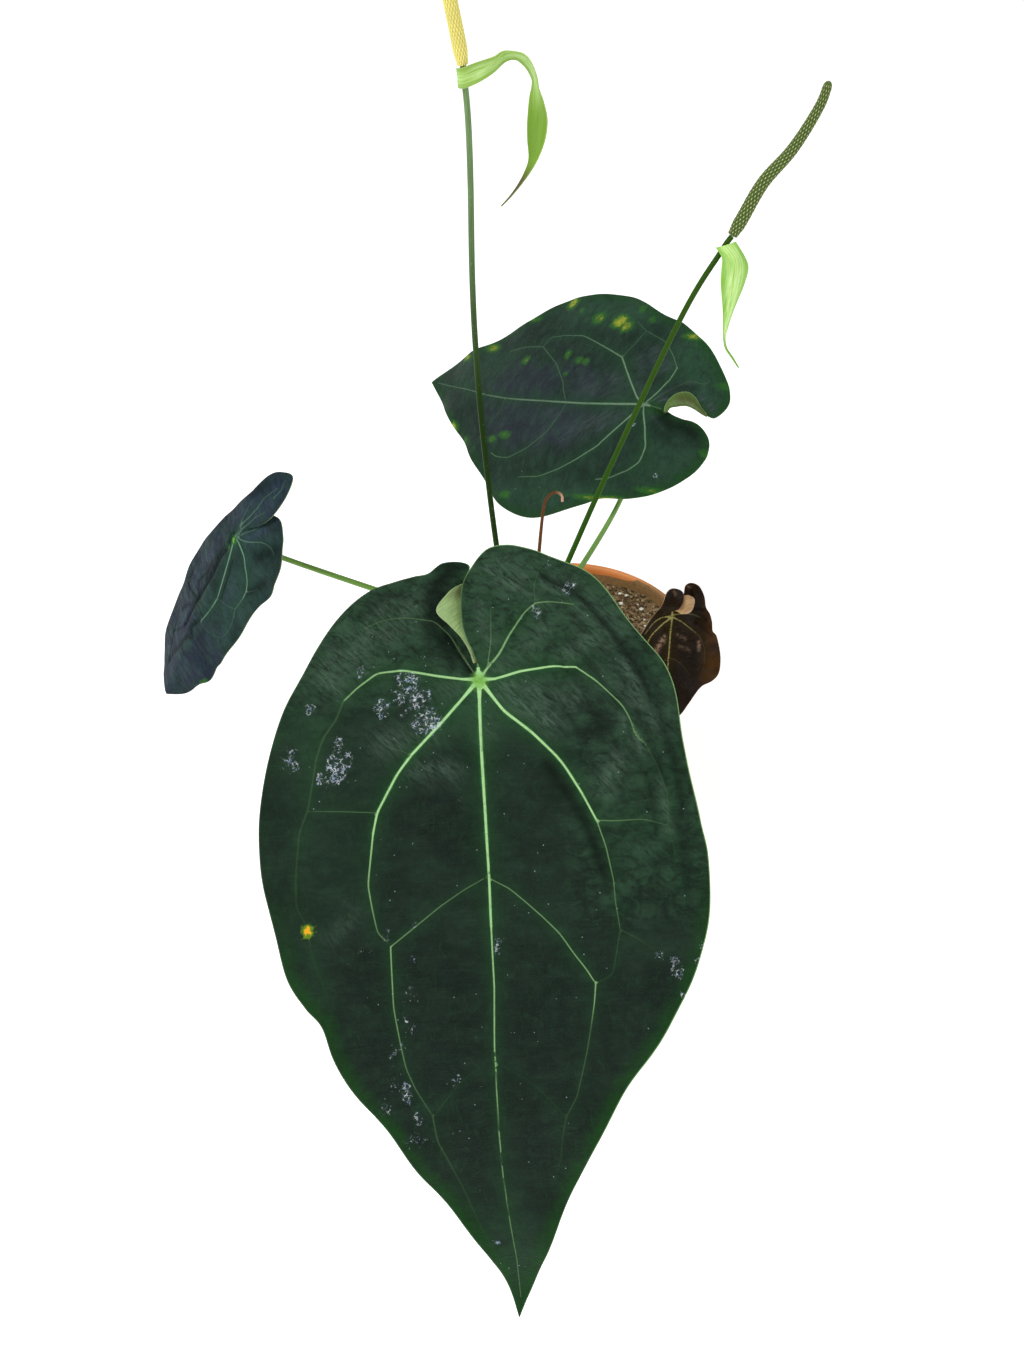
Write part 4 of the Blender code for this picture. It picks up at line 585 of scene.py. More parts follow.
    # Yellowed places, and round spots with a halo
    shift = p.swing(p.noise(flat, 2.6, 4, 0.7), 1.3)
    yellowed = p.plus(p.field("yellow"), shift)
    colour = p.mix(p.band(yellowed, 0.15, 0.75, 0.0, 0.7), colour, (0.030, 0.13, 0.018))
    colour = p.mix(p.band(yellowed, 0.75, 1.35, 0.0, 0.95), colour, (0.31, 0.35, 0.03))
    for centre, inner, outer, tint, halo in spots:
        gap = p.node("VectorMath", {0: flat, 1: (*centre, 0)}, operation="DISTANCE").outputs["Value"]
        gap = p.plus(gap, p.swing(p.noise(flat, 1.4, 3), 4.2))
        colour = p.mix(p.band(gap, outer, inner, 0.0, 0.9), colour, halo)
        colour = p.mix(p.band(gap, 0.8 * inner, 0.6 * inner), colour, tint)
    relief = p.plus(p.times(web, 0.5), p.times(grain, 0.5))
    relief = p.plus(relief, p.times(smudge, 1.4))
    relief = p.plus(relief, p.times(brushed, 1.0))
    relief = p.plus(relief, p.times(swell, 1.6))
    relief = p.plus(relief, p.times(p.times(creped, rumple), 3.0))
    rough = p.scaled(mottled, 0.25, 0.45)
    return p.finish(colour, rough, p.bump(relief, 0.8, 0.6))


def underside(name, base, rib, margin=(0.2, 0.3, 0.12), glossy=0.3, turned=(0.29, 0.43, 0.16)):
    """The paler lower face, with ribs and a fine net, and the fresher colour of a folded margin."""
    p = Paint(name, Roughness=0.5, Specular_IOR_Level=glossy)
    flat = p.place()
    broad = p.noise(flat, 20, 3, 0.6)
    colour = p.mix(p.band(broad, 0.3, 0.7), base, toned(base, 1.35))
    net = p.cell_edge(p.place(stretch=(1, 0.8, 1)), 5.5)
    fine = p.cell_edge(flat, 2.0)
    web = p.most(p.band(net, 0.1, 0.0), p.band(fine, 0.1, 0.0, 0.0, 0.5))
    colour = p.mix(p.times(web, 0.4), colour, rib)
    colour = p.mix(p.times(p.field("glow"), 0.5), colour, rib)
    colour = p.mix(p.band(p.field("core"), 0.6, -0.1), colour, rib)
    nerves = p.noise(p.place(stretch=(0.12, 1, 1), turn=0.9), 0.8, 3, 0.6)
    folded = p.mix(p.band(nerves, 0.35, 0.65), turned, toned(turned, 0.72))
    # Painted shade on the folded margin, as strong as its shaded field
    folded = p.mix(p.field("shaded"), folded, (0.055, 0.055, 0.008))
    colour = p.mix(p.field("turned"), colour, folded)
    colour = p.mix(p.band(p.field("margin"), 0.9, 0.15, 0.0, 0.7), colour, margin)
    relief = p.plus(web, p.times(p.noise(flat, 0.9, 3, 0.6), 0.4))
    rough = p.scaled(broad, 0.25, 0.35)
    return p.finish(colour, rough, p.bump(relief, 0.3, 0.35))


def stalk_paint(name, low, high, joint=None, specular=0.2, start=0.25):
    """A smooth stalk: colour shifts along it, with faint ribs, specks and a darker shaded foot."""
    p = Paint(name, Roughness=0.42, Specular_IOR_Level=specular)
    along = p.field("along")
    colour = p.mix(p.band(along, start, start + 0.5), low, high)
    streaks = p.noise(p.place("round", (1, 1, 0.05)), 0.8, 3, 0.6)
    colour = p.mix(p.band(streaks, 0.35, 0.7, 0.0, 0.35), colour, toned(low, 0.6))
    spots = p.noise(body_place(p), 1.1, 2, 0.6)
    colour = p.mix(p.band(spots, 0.66, 0.74, 0.0, 0.4), colour, [min(1, 1.5 * c + 0.06) for c in high])
    colour = p.mix(p.band(along, 0.07, 0.0, 0.0, 0.7), colour, (0.10, 0.065, 0.03))
    if joint:
        colour = p.mix(p.band(along, 0.93, 0.99), colour, joint)
    rough = p.scaled(spots, 0.25, 0.3)
    relief = p.plus(streaks, p.times(p.noise(body_place(p), 0.6), 0.3))
    return p.finish(colour, rough, p.bump(relief, 0.25, 0.25))


def spathe_paint(name, inner, outer, side, tail, tail_from, tip):
    """A thin waxy bract, paler outside, with fine lengthwise nerves."""
    p = Paint(name, Roughness=0.4, Specular_IOR_Level=0.15)
    along, across = p.field("along"), p.field("across")
    nerves = p.noise(p.place("flat", (0.06, 1, 1)), 0.7, 2, 0.5)
    colour = p.mix(p.band(nerves, 0.35, 0.65), inner, outer)
    colour = p.mix(p.band(p.noise(body_place(p), 7, 3), 0.4, 0.7, 0.0, 0.3), colour, toned(inner, 0.75))
    # Painted shade: darker towards both sides of the bract
    colour = p.mix(p.band(p.calc("ABSOLUTE", across), 0.3, 0.95, 0.0, 0.8), colour, side)
    colour = p.mix(p.band(nerves, 0.47, 0.3, 0.0, 0.6), colour, side)
    colour = p.mix(p.band(along, tail_from, tail_from + 0.2, 0.0, 0.9), colour, tail)
    colour = p.mix(p.band(along, 0.76, 0.88, 0.0, 0.9), colour, tip)
    # Painted highlight along both edges
    edge = p.band(p.calc("ABSOLUTE", across), 0.9, 1.0, 0.0, 0.4)
    colour = p.mix(edge, colour, (0.5, 0.62, 0.2))
    rough = p.scaled(nerves, 0.2, 0.3)
    return p.finish(colour, rough, p.bump(nerves, 0.3, 0.25))


def spadix_paint(name, low, high, dot, dot_size):
    """Packed florets: darker seams between them, and a stigma dot on each."""
    p = Paint(name, Roughness=0.5, Specular_IOR_Level=0.15)
    raised = p.field("floret")
    tint = p.noise(body_place(p), 9, 2)
    colour = p.mix(p.band(raised, 0.1, 0.7), low, high)
    colour = p.mix(p.band(tint, 0.4, 0.65, 0.0, 0.35), colour, toned(high, 0.7))
    colour = p.mix(p.band(p.field("stigma"), 1 - dot_size, 1.0), colour, dot)
    grain = p.noise(body_place(p), 0.25, 2)
    return p.finish(colour, p.scaled(grain, 0.3, 0.35), p.bump(grain, 0.2, 0.1))


# Lines and sheets


def travelled_along(line):
    """How far each point of a line lies from its start, along the line."""
    return np.concatenate([[0], np.cumsum(np.linalg.norm(np.diff(line, axis=0), axis=1))])


def line_length(line):
    return np.linalg.norm(np.diff(line, axis=0), axis=1).sum()


def points_at(line, travelled, wanted):
    """The places on a line at the wanted distances from its start."""
    return np.stack([np.interp(wanted, travelled, column) for column in line.T], axis=1)


def even_line(line, step):
    """The same line, with its points about one step apart."""
    line = np.array(line, float)
    travelled = travelled_along(line)
    count = max(2, int(round(travelled[-1] / step)) + 1)
    return points_at(line, travelled, np.linspace(0, travelled[-1], count))


def smooth_line(points, step):
    """Points about one step apart on a smooth curve through the given ones."""
    points = np.array(points, float)
    ends = np.vstack([2 * points[0] - points[1], points, 2 * points[-1] - points[-2]])
    dense = []
    for i in range(1, len(ends) - 2):
        before, start, end, after = ends[i - 1 : i + 3]
        for t in np.linspace(0, 1, 16, endpoint=False):
            bent = 2 * before - 5 * start + 4 * end - after
            twist = 3 * start - before - 3 * end + after
            dense.append(start + 0.5 * t * ((end - before) + t * (bent + t * twist)))
    dense.append(points[-1])
    return even_line(dense, step)


def smooth_step(x):
    """Rises from 0 to 1 with x, and is level at both ends."""
    x = np.clip(x, 0, 1)
    return x * x * (3 - 2 * x)


def line_distance(points, line):
    """Distance of each flat point to a polyline, and how far along the line its nearest place is."""
    best = np.full(len(points), 1e9)
    along = np.zeros(len(points))
    travelled = 0.0
    for start, end in zip(line[:-1], line[1:]):
        run = end - start
        length = np.linalg.norm(run)
        t = np.clip((points - start) @ run / length**2, 0, 1)
        distance = np.linalg.norm(points - start - t[:, None] * run, axis=1)
        nearer = distance < best
        best = np.where(nearer, distance, best)
        along = np.where(nearer, travelled + t * length, along)
        travelled += length
    return best, along


def inside(points, loop):
    """Which of the flat points lie within a closed loop."""
    hit = np.zeros(len(points), bool)
    for (ax, ay), (bx, by) in zip(loop, np.roll(loop, -1, axis=0)):
        spans = (ay > points[:, 1]) != (by > points[:, 1])
        slope = (bx - ax) / (by - ay) if by != ay else 0.0
        hit ^= spans & (points[:, 0] < ax + (points[:, 1] - ay) * slope)
    return hit


def rim_line(leaf, side):
    """The outline of one half, refined, and most of all near the stalk, where it turns sharply."""
    line = smooth_line(leaf["plus" if side > 0 else "minus"], 0.5)
    travelled = travelled_along(line)
    near_end, near_step, far_step = 25, 0.9, 0.75 * leaf["step"]
    far = np.linspace(near_end, travelled[-1], int((travelled[-1] - near_end) / far_step))
    return points_at(line, travelled, np.concatenate([np.arange(0, near_end, near_step), far]))


def vein_line(vein, step=1.3):
    """A vein runs nearly straight between its forks; only its corners are a little rounded."""
    line = even_line(vein[0], step)
    for _ in range(2):
        line[1:-1] = 0.25 * line[:-2] + 0.5 * line[1:-1] + 0.25 * line[2:]
    return line


def vein_fields(leaf, points):
    """Signed distance to the nearest vein's edge, its brightness, the glow, and ridge heights."""
    core = np.full(len(points), NO_VEIN)
    bright = np.zeros(len(points))
    glow = np.zeros(len(points))
    ridge = np.zeros(len(points))
    nearest = np.full(len(points), 1e9)
    for vein in leaf["veins"]:
        line = vein_line(vein)
        distance, along = line_distance(points, line)
        part = along / line_length(line)
        half = vein[1][0] + (vein[1][1] - vein[1][0]) * part
        shine = vein[2][0] + (vein[2][1] - vein[2][0]) * part
        edge = distance - half
        nearer = edge < core
        core = np.where(nearer, edge, core)
        bright = np.where(nearer, shine, bright)
        spread = 1.5 + 3.6 * half
        glow = np.maximum(glow, (0.2 + 0.65 * shine) * np.exp(-np.maximum(edge, 0) / spread))
        ridge = np.maximum(ridge, half * (1 - smooth_step(distance / (2.2 * half + 0.3))))
        nearest = np.minimum(nearest, distance)
    return core, bright, glow, ridge, nearest


def blade_height(leaf, points, rim, ridge, nearest):
    """Relief: vein ridges, quilting between them, folds, and the waved edge."""
    scale = min(1.0, leaf["length"] / 150)
    height = RIDGE_HEIGHT * ridge + scale * QUILT_HEIGHT * (1 - np.exp(-nearest / (scale * QUILT_REACH)))
    edge, along = line_distance(points, rim)
    size, count, phase = leaf["wave"]
    swing = np.sin(2 * math.pi * count * along / line_length(rim) + phase)
    swing *= smooth_step(np.abs(points[:, 1]) / (0.12 * leaf["length"]) + np.maximum(points[:, 0], 0))
    for line, depth, width, _ in leaf["folds"]:
        height -= depth * np.exp(-(line_distance(points, smooth_line(line, 1.5))[0] / width) ** 2)
    return height + size * np.exp(-edge / (0.06 * leaf["length"] + 4)) * swing


def soft_lines(points, lines, power):
    """A field of soft strokes: each is (line, width, strength)."""
    total = np.zeros(len(points))
    for line, width, strength in lines:
        distance = line_distance(points, smooth_line(line, 1.5))[0]
        total = np.maximum(total, strength * np.exp(-((distance / width) ** power)))
    return total


def grid_faces(rows, width):
    """The triangles of a grid of points, row by row."""
    faces = []
    for row in range(rows - 1):
        for column in range(width - 1):
            a = row * width + column
            faces += [(a, a + 1, a + width + 1), (a, a + width + 1, a + width)]
    return faces


def ring_faces(rings, sides):
    """The four-sided faces that join rings of points, one ring to the next."""
    faces = []
    for ring in range(rings - 1):
        for side in range(sides):
            a, b = ring * sides + side, ring * sides + (side + 1) % sides
            faces.append((a, b, b + sides, a + sides))
    return faces


def flap_grid(leaf):
    """A margin that is folded back: from each place on its crease up, over and on to its free edge."""
    flap = leaf["flap"]
    side = flap["side"]
    rows = smooth_line([(*a, *b) for a, b in zip(flap["crease"], flap["free"])], 0.5 * leaf["step"])
    crease, free = rows[:, :2], rows[:, 2:]
    rim = rim_line(leaf, side)

    def relief(points):
        ridge, nearest = vein_fields(leaf, points)[3:]
        return blade_height(leaf, points, rim, ridge, nearest)

    low, high = relief(crease), relief(free)
    round_points, level_points = 9, 10
    flat, height, rest = [], [], []
    for a, b, start, end, part in zip(crease, free, low, high, np.linspace(0, 1, len(rows))):
        span = np.linalg.norm(b - a)
        radius = min(flap["radius"], span / 3)
        rise = flap["rise"] * min(1.0, span / (4 * flap["radius"]))
        for turn in np.linspace(0, math.pi, round_points):
            flat.append(a - (b - a) / span * radius * math.sin(turn))
            height.append(start + radius * (1 - math.cos(turn)))
            rest.append((0.0, part, span))
        for t in np.linspace(0, 1, level_points + 1)[1:]:
            lofted = 2 * radius + (rise - 2 * radius) * t + 0.12 * span * math.sin(math.pi * t)
            flat.append(a + (b - a) * t)
            height.append(start + (end - start) * t + lofted)
            rest.append((t, part, span))
    flat, height, rest = np.array(flat), np.array(height), np.array(rest)
    placed = blade_points(leaf, flat, height + lobe_lift(leaf, flat, side))
    width = round_points + level_points
    faces = grid_faces(len(rows), width)
    corners = placed[np.array(faces[2 * (width - 2) :: 2 * (width - 1)])]
    facing = np.cross(corners[:, 1] - corners[:, 0], corners[:, 2] - corners[:, 0]).sum(axis=0)
    if facing @ blade_seat(leaf)[1] > 0:
        faces = [face[::-1] for face in faces]
    return flat, placed, faces, rest


def lobe_lift(leaf, points, side):
    """How far one lobe is raised, and the other lowered, so that they can overlap behind the stalk."""
    behind = smooth_step((leaf["plus"][0][0] - points[:, 0]) / leaf["lift_reach"])
    own = np.maximum(side * points[:, 1], 0)
    return side * leaf["over"] * leaf["lift"] * behind * np.exp(-((own / 28) ** 2))


def bend(length, start, rate):
    """How far across and down a strip of some length reaches: it starts at a slope and bends on."""
    rate = np.where(np.abs(rate) < 1e-6, 1e-6, rate)
    across = (np.sin(start + rate * length) - np.sin(start)) / rate
    down = (np.cos(start) - np.cos(start + rate * length)) / rate
    return across, down


def blade_points(leaf, points, height):
    """Flat points with their height, bent and turned into the leaf's place, as in the part."""
    u = points[:, 0]
    v = points[:, 1] + leaf["sway"] * np.sin(math.pi * np.clip(u / leaf["length"], 0, 1))
    slope = math.radians(leaf["slope"])
    droop = math.radians(leaf["droop"]) / 100
    lobe_droop = math.radians(leaf["lobe_droop"]) / 100
    tip_x, tip_z = bend(np.maximum(u, 0), slope, droop)
    lobe_x, lobe_z = bend(np.minimum(u, 0), slope, lobe_droop)
    angle = slope + np.where(u > 0, droop, lobe_droop) * u
    side = np.where(v > 0, 0, 1)
    fold = np.radians(np.array(leaf["fold"], float))[side]
    cup = np.radians(np.array(leaf["cup"], float))[side] / 100
    across, rise = bend(np.abs(v), fold, cup)
    rise = rise * (1 - np.exp(-np.abs(v) / 3)) + height
    forward = tip_x + lobe_x + rise * np.sin(angle)
    local = np.stack([forward, np.sign(v) * across, rise * np.cos(angle) - tip_z - lobe_z], axis=1)
    axis = np.array([math.cos(slope), 0, -math.sin(slope)])
    roll = math.radians(leaf["roll"])
    local = (
        local * math.cos(roll)
        + np.cross(axis, local) * math.sin(roll)
        + np.outer(local @ axis, axis) * (1 - math.cos(roll))
    )
    heading = math.radians(leaf["heading"])
    ahead = np.array([math.cos(heading), math.sin(heading), 0])
    left = np.array([-math.sin(heading), math.cos(heading), 0])
    return local @ np.array([ahead, left, (0, 0, 1)]) + np.array(leaf["at"])


def keep_apart(kept, extra, spacing):
    """Those of the extra points that are no nearer than the spacing to a kept one."""
    tree = kdtree.KDTree(len(kept))
    for number, (x, y) in enumerate(kept):
        tree.insert((x, y, 0), number)
    tree.balance()
    return [p for p in extra if tree.find((p[0], p[1], 0))[2] >= spacing]


def half_mesh(leaf, side):
    """One half of the blade in fine triangles, with rows of points along every vein."""
    step = leaf["step"]
    midrib = even_line([leaf["plus"][0], (leaf["length"], 0)], 0.7 * step)
    rim = rim_line(leaf, side)
    loop = np.vstack([midrib, rim[-2:0:-1]])
    border_line = np.vstack([loop, loop[:1]])
    points = [tuple(p) for p in loop]
    for vein in leaf["veins"]:
        line = vein_line(vein)
        tangent = np.gradient(line, axis=0)
        tangent /= np.linalg.norm(tangent, axis=1)[:, None]
        across = np.stack([-tangent[:, 1], tangent[:, 0]], axis=1)
        part = np.linspace(0, 1, len(line))[:, None]
        half = vein[1][0] + (vein[1][1] - vein[1][0]) * part
        near, far = across * (half + 0.1), across * (half + 0.9)
        for row in (line, line + near, line - near, line + far, line - far):
            row = row[inside(row, loop)]
            if len(row):
                row = row[line_distance(row, border_line)[0] > 0.35]
                points += keep_apart(points, [tuple(p) for p in row], 0.45)
    low, high = loop.min(axis=0), loop.max(axis=0)
    rows = np.arange(low[1], high[1], step * 0.87)
    columns = np.arange(low[0], high[0], step)
    grid = np.array([(x + (i % 2) * step / 2, y) for i, y in enumerate(rows) for x in columns])
    grid = grid[inside(grid, loop)]
    points += keep_apart(points, [tuple(p) for p in grid], 0.6 * step)
    border = [(i, (i + 1) % len(loop)) for i in range(len(loop))]
    flat, _, faces, _, _, _ = geometry.delaunay_2d_cdt([Vector(p) for p in points], border, [], 1, 1e-5)
    return np.array([tuple(p) for p in flat]), rim, faces


def mesh_object(name, points, faces, materials, slots=None, fields=None, smooth=50.0):
    """One named object from points in millimetres, with its materials and its named fields."""
    points = np.array([tuple(float(x) for x in p) for p in points])
    if name != "floor":
        points = np.clip(points, LOW, HIGH)
    mesh = bpy.data.meshes.new(name)
    mesh.from_pydata((points * MM).tolist(), [], [[int(c) for c in f] for f in faces])
    for material in materials:
        mesh.materials.append(material)
    if slots is not None:
        mesh.polygons.foreach_set("material_index", np.array(slots, np.int32))
    for key, values in (fields or {}).items():
        values = np.array(values, float)
        kind, part = ("FLOAT_VECTOR", "vector") if values.ndim == 2 else ("FLOAT", "value")
        mesh.attributes.new(key, kind, "POINT").data.foreach_set(part, values.ravel())
    mesh.shade_smooth()
    if smooth:
        mesh.set_sharp_from_angle(angle=math.radians(smooth))
    made = bpy.data.objects.new(name, mesh)
    bpy.context.scene.collection.objects.link(made)
    return made


def sheet(name, points, faces, materials, fields, above, below):
    """A closed sheet: its upper face takes the first material, its lower face and rim the second."""
    faces = np.array(faces)
    corners = points[faces]
    facing = np.cross(corners[:, 1] - corners[:, 0], corners[:, 2] - corners[:, 0])
    normals = np.zeros_like(points)
    for corner in range(3):
        np.add.at(normals, faces[:, corner], facing)
    normals /= np.linalg.norm(normals, axis=1)[:, None]
    count = len(points)
    both = np.vstack([points + normals * above[:, None], points - normals * below[:, None]])
    edges = {(a, b) for a, b, c in faces} | {(b, c) for a, b, c in faces} | {(c, a) for a, b, c in faces}
    border = sorted((a, b) for a, b in edges if (b, a) not in edges)
    rim = [(b, a, a + count, b + count) for a, b in border]
    everything = [tuple(f) for f in faces] + [tuple(f[::-1] + count) for f in faces] + rim
    slots = [0] * len(faces) + [1] * (len(faces) + len(rim))
    doubled = {key: np.concatenate([value, value]) for key, value in fields.items()}
    return mesh_object(name, both, everything, materials, slots, doubled)


def patches(points, spots):
    """A soft field that is 1 at each spot's middle and fades at its reach."""
    total = np.zeros(len(points))
    for (u, v), (along, across), strength in spots:
        away = ((points[:, 0] - u) / along) ** 2 + ((points[:, 1] - v) / across) ** 2
        total = np.maximum(total, strength * np.exp(-(away**1.5)))
    return total


def claim(piece, node):
    """Makes a piece part of the body, in place of a node of the CAD where one is named."""
    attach(piece, "root")
    if node:
        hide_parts(node)
    return piece


def make_blade(name, node, slot_name, leaf, materials, shade=None, residue=(), yellow=(), fresh=(), dusty=0.0,
               **spreads):
    """A blade: two halves joined along the midrib, a folded margin, and all fields of its paint.

    A spread is a field given as a number or as a function of u and v.
    """
    merged = {}
    points, flats, reliefs, faces, margins = [], [], [], [], []
    for side in (1, -1):
        flat, rim, triangles = half_mesh(leaf, side)
        core, bright, glow, ridge, nearest = vein_fields(leaf, flat)
        relief = blade_height(leaf, flat, rim, ridge, nearest)
        placed = blade_points(leaf, flat, relief + lobe_lift(leaf, flat, side))
        margin = line_distance(flat, rim)[0]
        index = []
        for number, (place, (u, v)) in enumerate(zip(placed, flat)):
            on_midrib = abs(v) < HAIR and u > leaf["plus"][0][0] - HAIR
            key = round(u, 3) if on_midrib else None
            if key is None or key not in merged:
                points.append(place)
                flats.append((u, v, 0))
                reliefs.append((core[number], bright[number], glow[number], ridge[number]))
                margins.append(margin[number])
                if key is not None:
                    merged[key] = len(points) - 1
            index.append(merged[key] if key is not None else len(points) - 1)
        faces += [[index[i] for i in triangle] for triangle in triangles]
    turned = [0.0] * len(points)
    shaded = [0.0] * len(points)
    if "flap" in leaf:
        flat, placed, more, rest = flap_grid(leaf)
        faces += [[i + len(points) for i in face] for face in more]
        for (u, v), place, (t, part, span) in zip(flat, placed, rest):
            points.append(place)
            flats.append((u, v, 0))
            reliefs.append((NO_VEIN, 0, 0, 0))
            margins.append((1 - t) * span)
            turned.append(1.0)
            shaded.append(shade(t, part) if shade else 0.0)
    flats, margins = np.array(flats, float), np.array(margins)
    core, bright, glow, ridge = np.array(reliefs).T
    u, v = flats[:, 0], flats[:, 1]
    plain = np.zeros(len(flats))
    darkened = [(line, width, dark) for line, _, width, dark in leaf["folds"]]
    fields = dict(
        flat=flats, core=core, bright=bright, glow=np.minimum(glow, 1), margin=margins,
        residue=patches(flats, residue), yellow=patches(flats, yellow), fresh=patches(flats, fresh),
        dusty=plain + dusty, turned=np.array(turned), shaded=np.array(shaded),
        fold_shade=soft_lines(flats[:, :2], darkened, 2.0), sheen_strength=soft_lines(flats[:, :2], leaf["painted_sheen"], 1.6),
    )
    for key, value in spreads.items():
        fields[key] = plain + (value(u, v) if callable(value) else value)
    body = np.full(len(flats), SHEET / 2)
    ribs = body + RIB_DEPTH * ridge * smooth_step(margins / 3)
    return claim(sheet(name, np.array(points), faces, materials, fields, body, ribs), node)


def blade_seat(leaf):
    """Where the stalk meets the blade, and the way that the blade faces there."""
    probe = np.array([(0.0, 0.0), (3.0, 0.0), (0.0, 3.0), (0.0, -3.0)])
    middle, ahead, left, right = blade_points(leaf, probe, np.zeros(len(probe)))
    normal = np.cross(ahead - middle, left - right)
    return middle, normal / np.linalg.norm(normal)


def frames(line):
    """Two directions across a line at each of its points, carried along without twist."""
    tangents = np.gradient(line, axis=0)
    tangents /= np.linalg.norm(tangents, axis=1)[:, None]
    first = np.cross(tangents[0], (0.0, 1.0, 0.0))
    first /= np.linalg.norm(first)
    pairs = []
    for tangent in tangents:
        first = first - tangent * (first @ tangent)
        first /= np.linalg.norm(first)
        pairs.append((first.copy(), np.cross(tangent, first)))
    return pairs


def tube(name, line, radius_at, sides, material, extra=None):
    """A closed bar along a line, with how far along and round it each point lies."""
    travelled = travelled_along(line)
    points, along, round_, more = [], [], [], {key: [] for key in extra or {}}
    for ring, (centre, (a, b)) in enumerate(zip(line, frames(line))):
        t = travelled[ring] / travelled[-1]
        for side in range(sides):
            angle = 2 * math.pi * side / sides
            points.append(centre + radius_at(t, angle) * (math.cos(angle) * a + math.sin(angle) * b))
            along.append(t)
            round_.append((2 * math.cos(angle), 2 * math.sin(angle), travelled[ring]))
            for key, call in (extra or {}).items():
                more[key].append(call(t, angle))
    faces = ring_faces(len(line), sides)
    last = (len(line) - 1) * sides
    for centre, ring, turn in ((line[0], 0, -1), (np.mean(points[-sides:], axis=0), last, 1)):
        points.append(centre)
        along.append(along[ring])
        round_.append((0, 0, round_[ring][2]))
        for key in more:
            more[key].append(more[key][ring])
        for side in range(sides):
            pair = (ring + side, ring + (side + 1) % sides)
            faces.append((len(points) - 1, *(pair if turn > 0 else pair[::-1])))
    return mesh_object(name, points, faces, [material], fields=dict(along=along, round=round_, **more))


def make_petiole(node, leaf, route, radius, tip_radius, material):
    """A leaf stalk: fuller at its sheathed foot, with a swollen joint just below the blade."""
    middle, normal = blade_seat(leaf)
    seat = middle - normal * 0.4
    line = smooth_line(route + [tuple(seat)], 2.5)
    length = line_length(line)

    def radius_at(t, angle):
        left = (1 - t) * length
        joint = 0.32 * math.exp(-(((left - 8) / 6) ** 2))
        groove = 0.1 * math.exp(-((math.sin(angle / 2 - 0.8)) ** 2) * 18)
        foot = 0.5 * math.exp(-t * length / 14)
        return radius + (tip_radius - radius) * t + joint + foot - groove

    return claim(tube(node + "_fine", line, radius_at, 18, material), node)


def make_peduncle(node, route, radius, tip_radius, material):
    """A flower stalk: even and slender, a little fuller at its foot."""
    line = smooth_line(route, 3.0)

    def radius_at(t, angle):
        return radius + (tip_radius - radius) * t + 0.5 * math.exp(-t * 14) + 0.03 * math.cos(5 * angle)

    return claim(tube(node + "_fine", line, radius_at, 18, material), node)


def make_spadix(node, route, material, rows, turns):
    """A tapered spike of packed florets, each a small four-sided cushion with a dot on top."""
    line = smooth_line(route, 1.0)
    line = even_line(line, line_length(line) / SPADIX_RINGS)

    def lattice(t, angle):
        a = turns * angle / (2 * math.pi)
        b = rows * t
        return a + b, a - b

    def raised(t, angle):
        p, q = lattice(t, angle)
        return (abs(math.sin(math.pi * p)) * abs(math.sin(math.pi * q))) ** 0.6

    def stigma(t, angle):
        p, q = lattice(t, angle)
        off = math.hypot((p % 1) - 0.5, (q % 1) - 0.5)
        return max(0.0, 1 - off / 0.5)

    def radius_at(t, angle):
        body = SPADIX_RADIUS * min(1.0, 0.72 + 4 * t) * (1 - 0.42 * t**1.6)
        blunt = math.sqrt(max(0.0, 1 - max(0.0, (t - 0.965) / 0.036) ** 2))
        return (body - 0.1 + 0.38 * raised(t, angle)) * max(blunt, 0.12)

    extra = dict(floret=raised, stigma=stigma)
    return claim(tube(node + "_fine", line, radius_at, SPADIX_SIDES, material, extra), node)


def make_spathe(node, stations, material):
    """A narrow bract: a cambered, keeled strip through its stations."""
    rows = smooth_line([(*centre, *half, camber) for centre, half, camber in stations], 0.9)
    travelled = travelled_along(rows[:, :3])
    across = np.linspace(-1, 1, 11)
    points, fields = [], dict(along=[], across=[], flat=[], core=[], glow=[], margin=[])
    for row, run, gone in zip(rows, np.gradient(rows[:, :3], axis=0), travelled):
        half = row[3:6]
        out = np.cross(half, run)
        out /= np.linalg.norm(out)
        wide = np.linalg.norm(half)
        for s in across:
            keel = 0.18 * math.exp(-((s * wide / 0.5) ** 2))
            points.append(row[:3] + half * s + out * (row[6] * (1 - s * s) + keel))
            fields["along"].append(gone / travelled[-1])
            fields["across"].append(s)
            fields["flat"].append((gone, s * wide, 0))
            fields["core"].append(abs(s * wide) - 0.3)
            fields["glow"].append(0.0)
            fields["margin"].append((1 - abs(s)) * wide)
    points = np.array(points)
    thick = np.full(len(points), 0.2)
    fields = {key: np.array(value) for key, value in fields.items()}
    faces = grid_faces(len(rows), len(across))
    made = sheet(node + "_fine", points, faces, [material, material], fields, thick, thick)
    return claim(made, node)


def lathe(name, profile, sides, material, at=(0.0, 0.0), shift=None):
    """A solid turned from a profile of (radius, height), with flat ends."""
    points = []
    for radius, height in profile:
        for side in range(sides):
            angle = 2 * math.pi * side / sides
            point = np.array((at[0] + radius * math.cos(angle), at[1] + radius * math.sin(angle), height))
            points.append(shift(point) if shift else point)
    faces = ring_faces(len(profile), sides)
    faces.append(tuple(range(sides))[::-1])
    faces.append(tuple(range((len(profile) - 1) * sides, len(profile) * sides)))
    return mesh_object(name, points, faces, [material], smooth=LATHE_SMOOTH)


# Pot


def inner_radius(height):
    """Radius of the pot's inner wall, which is a plain cone."""
    top = RIM_RADIUS - RIM_THICKNESS
    bottom = BASE_RADIUS - WALL
    return bottom + (top - bottom) * (height - FLOOR) / (POT_HEIGHT - FLOOR)


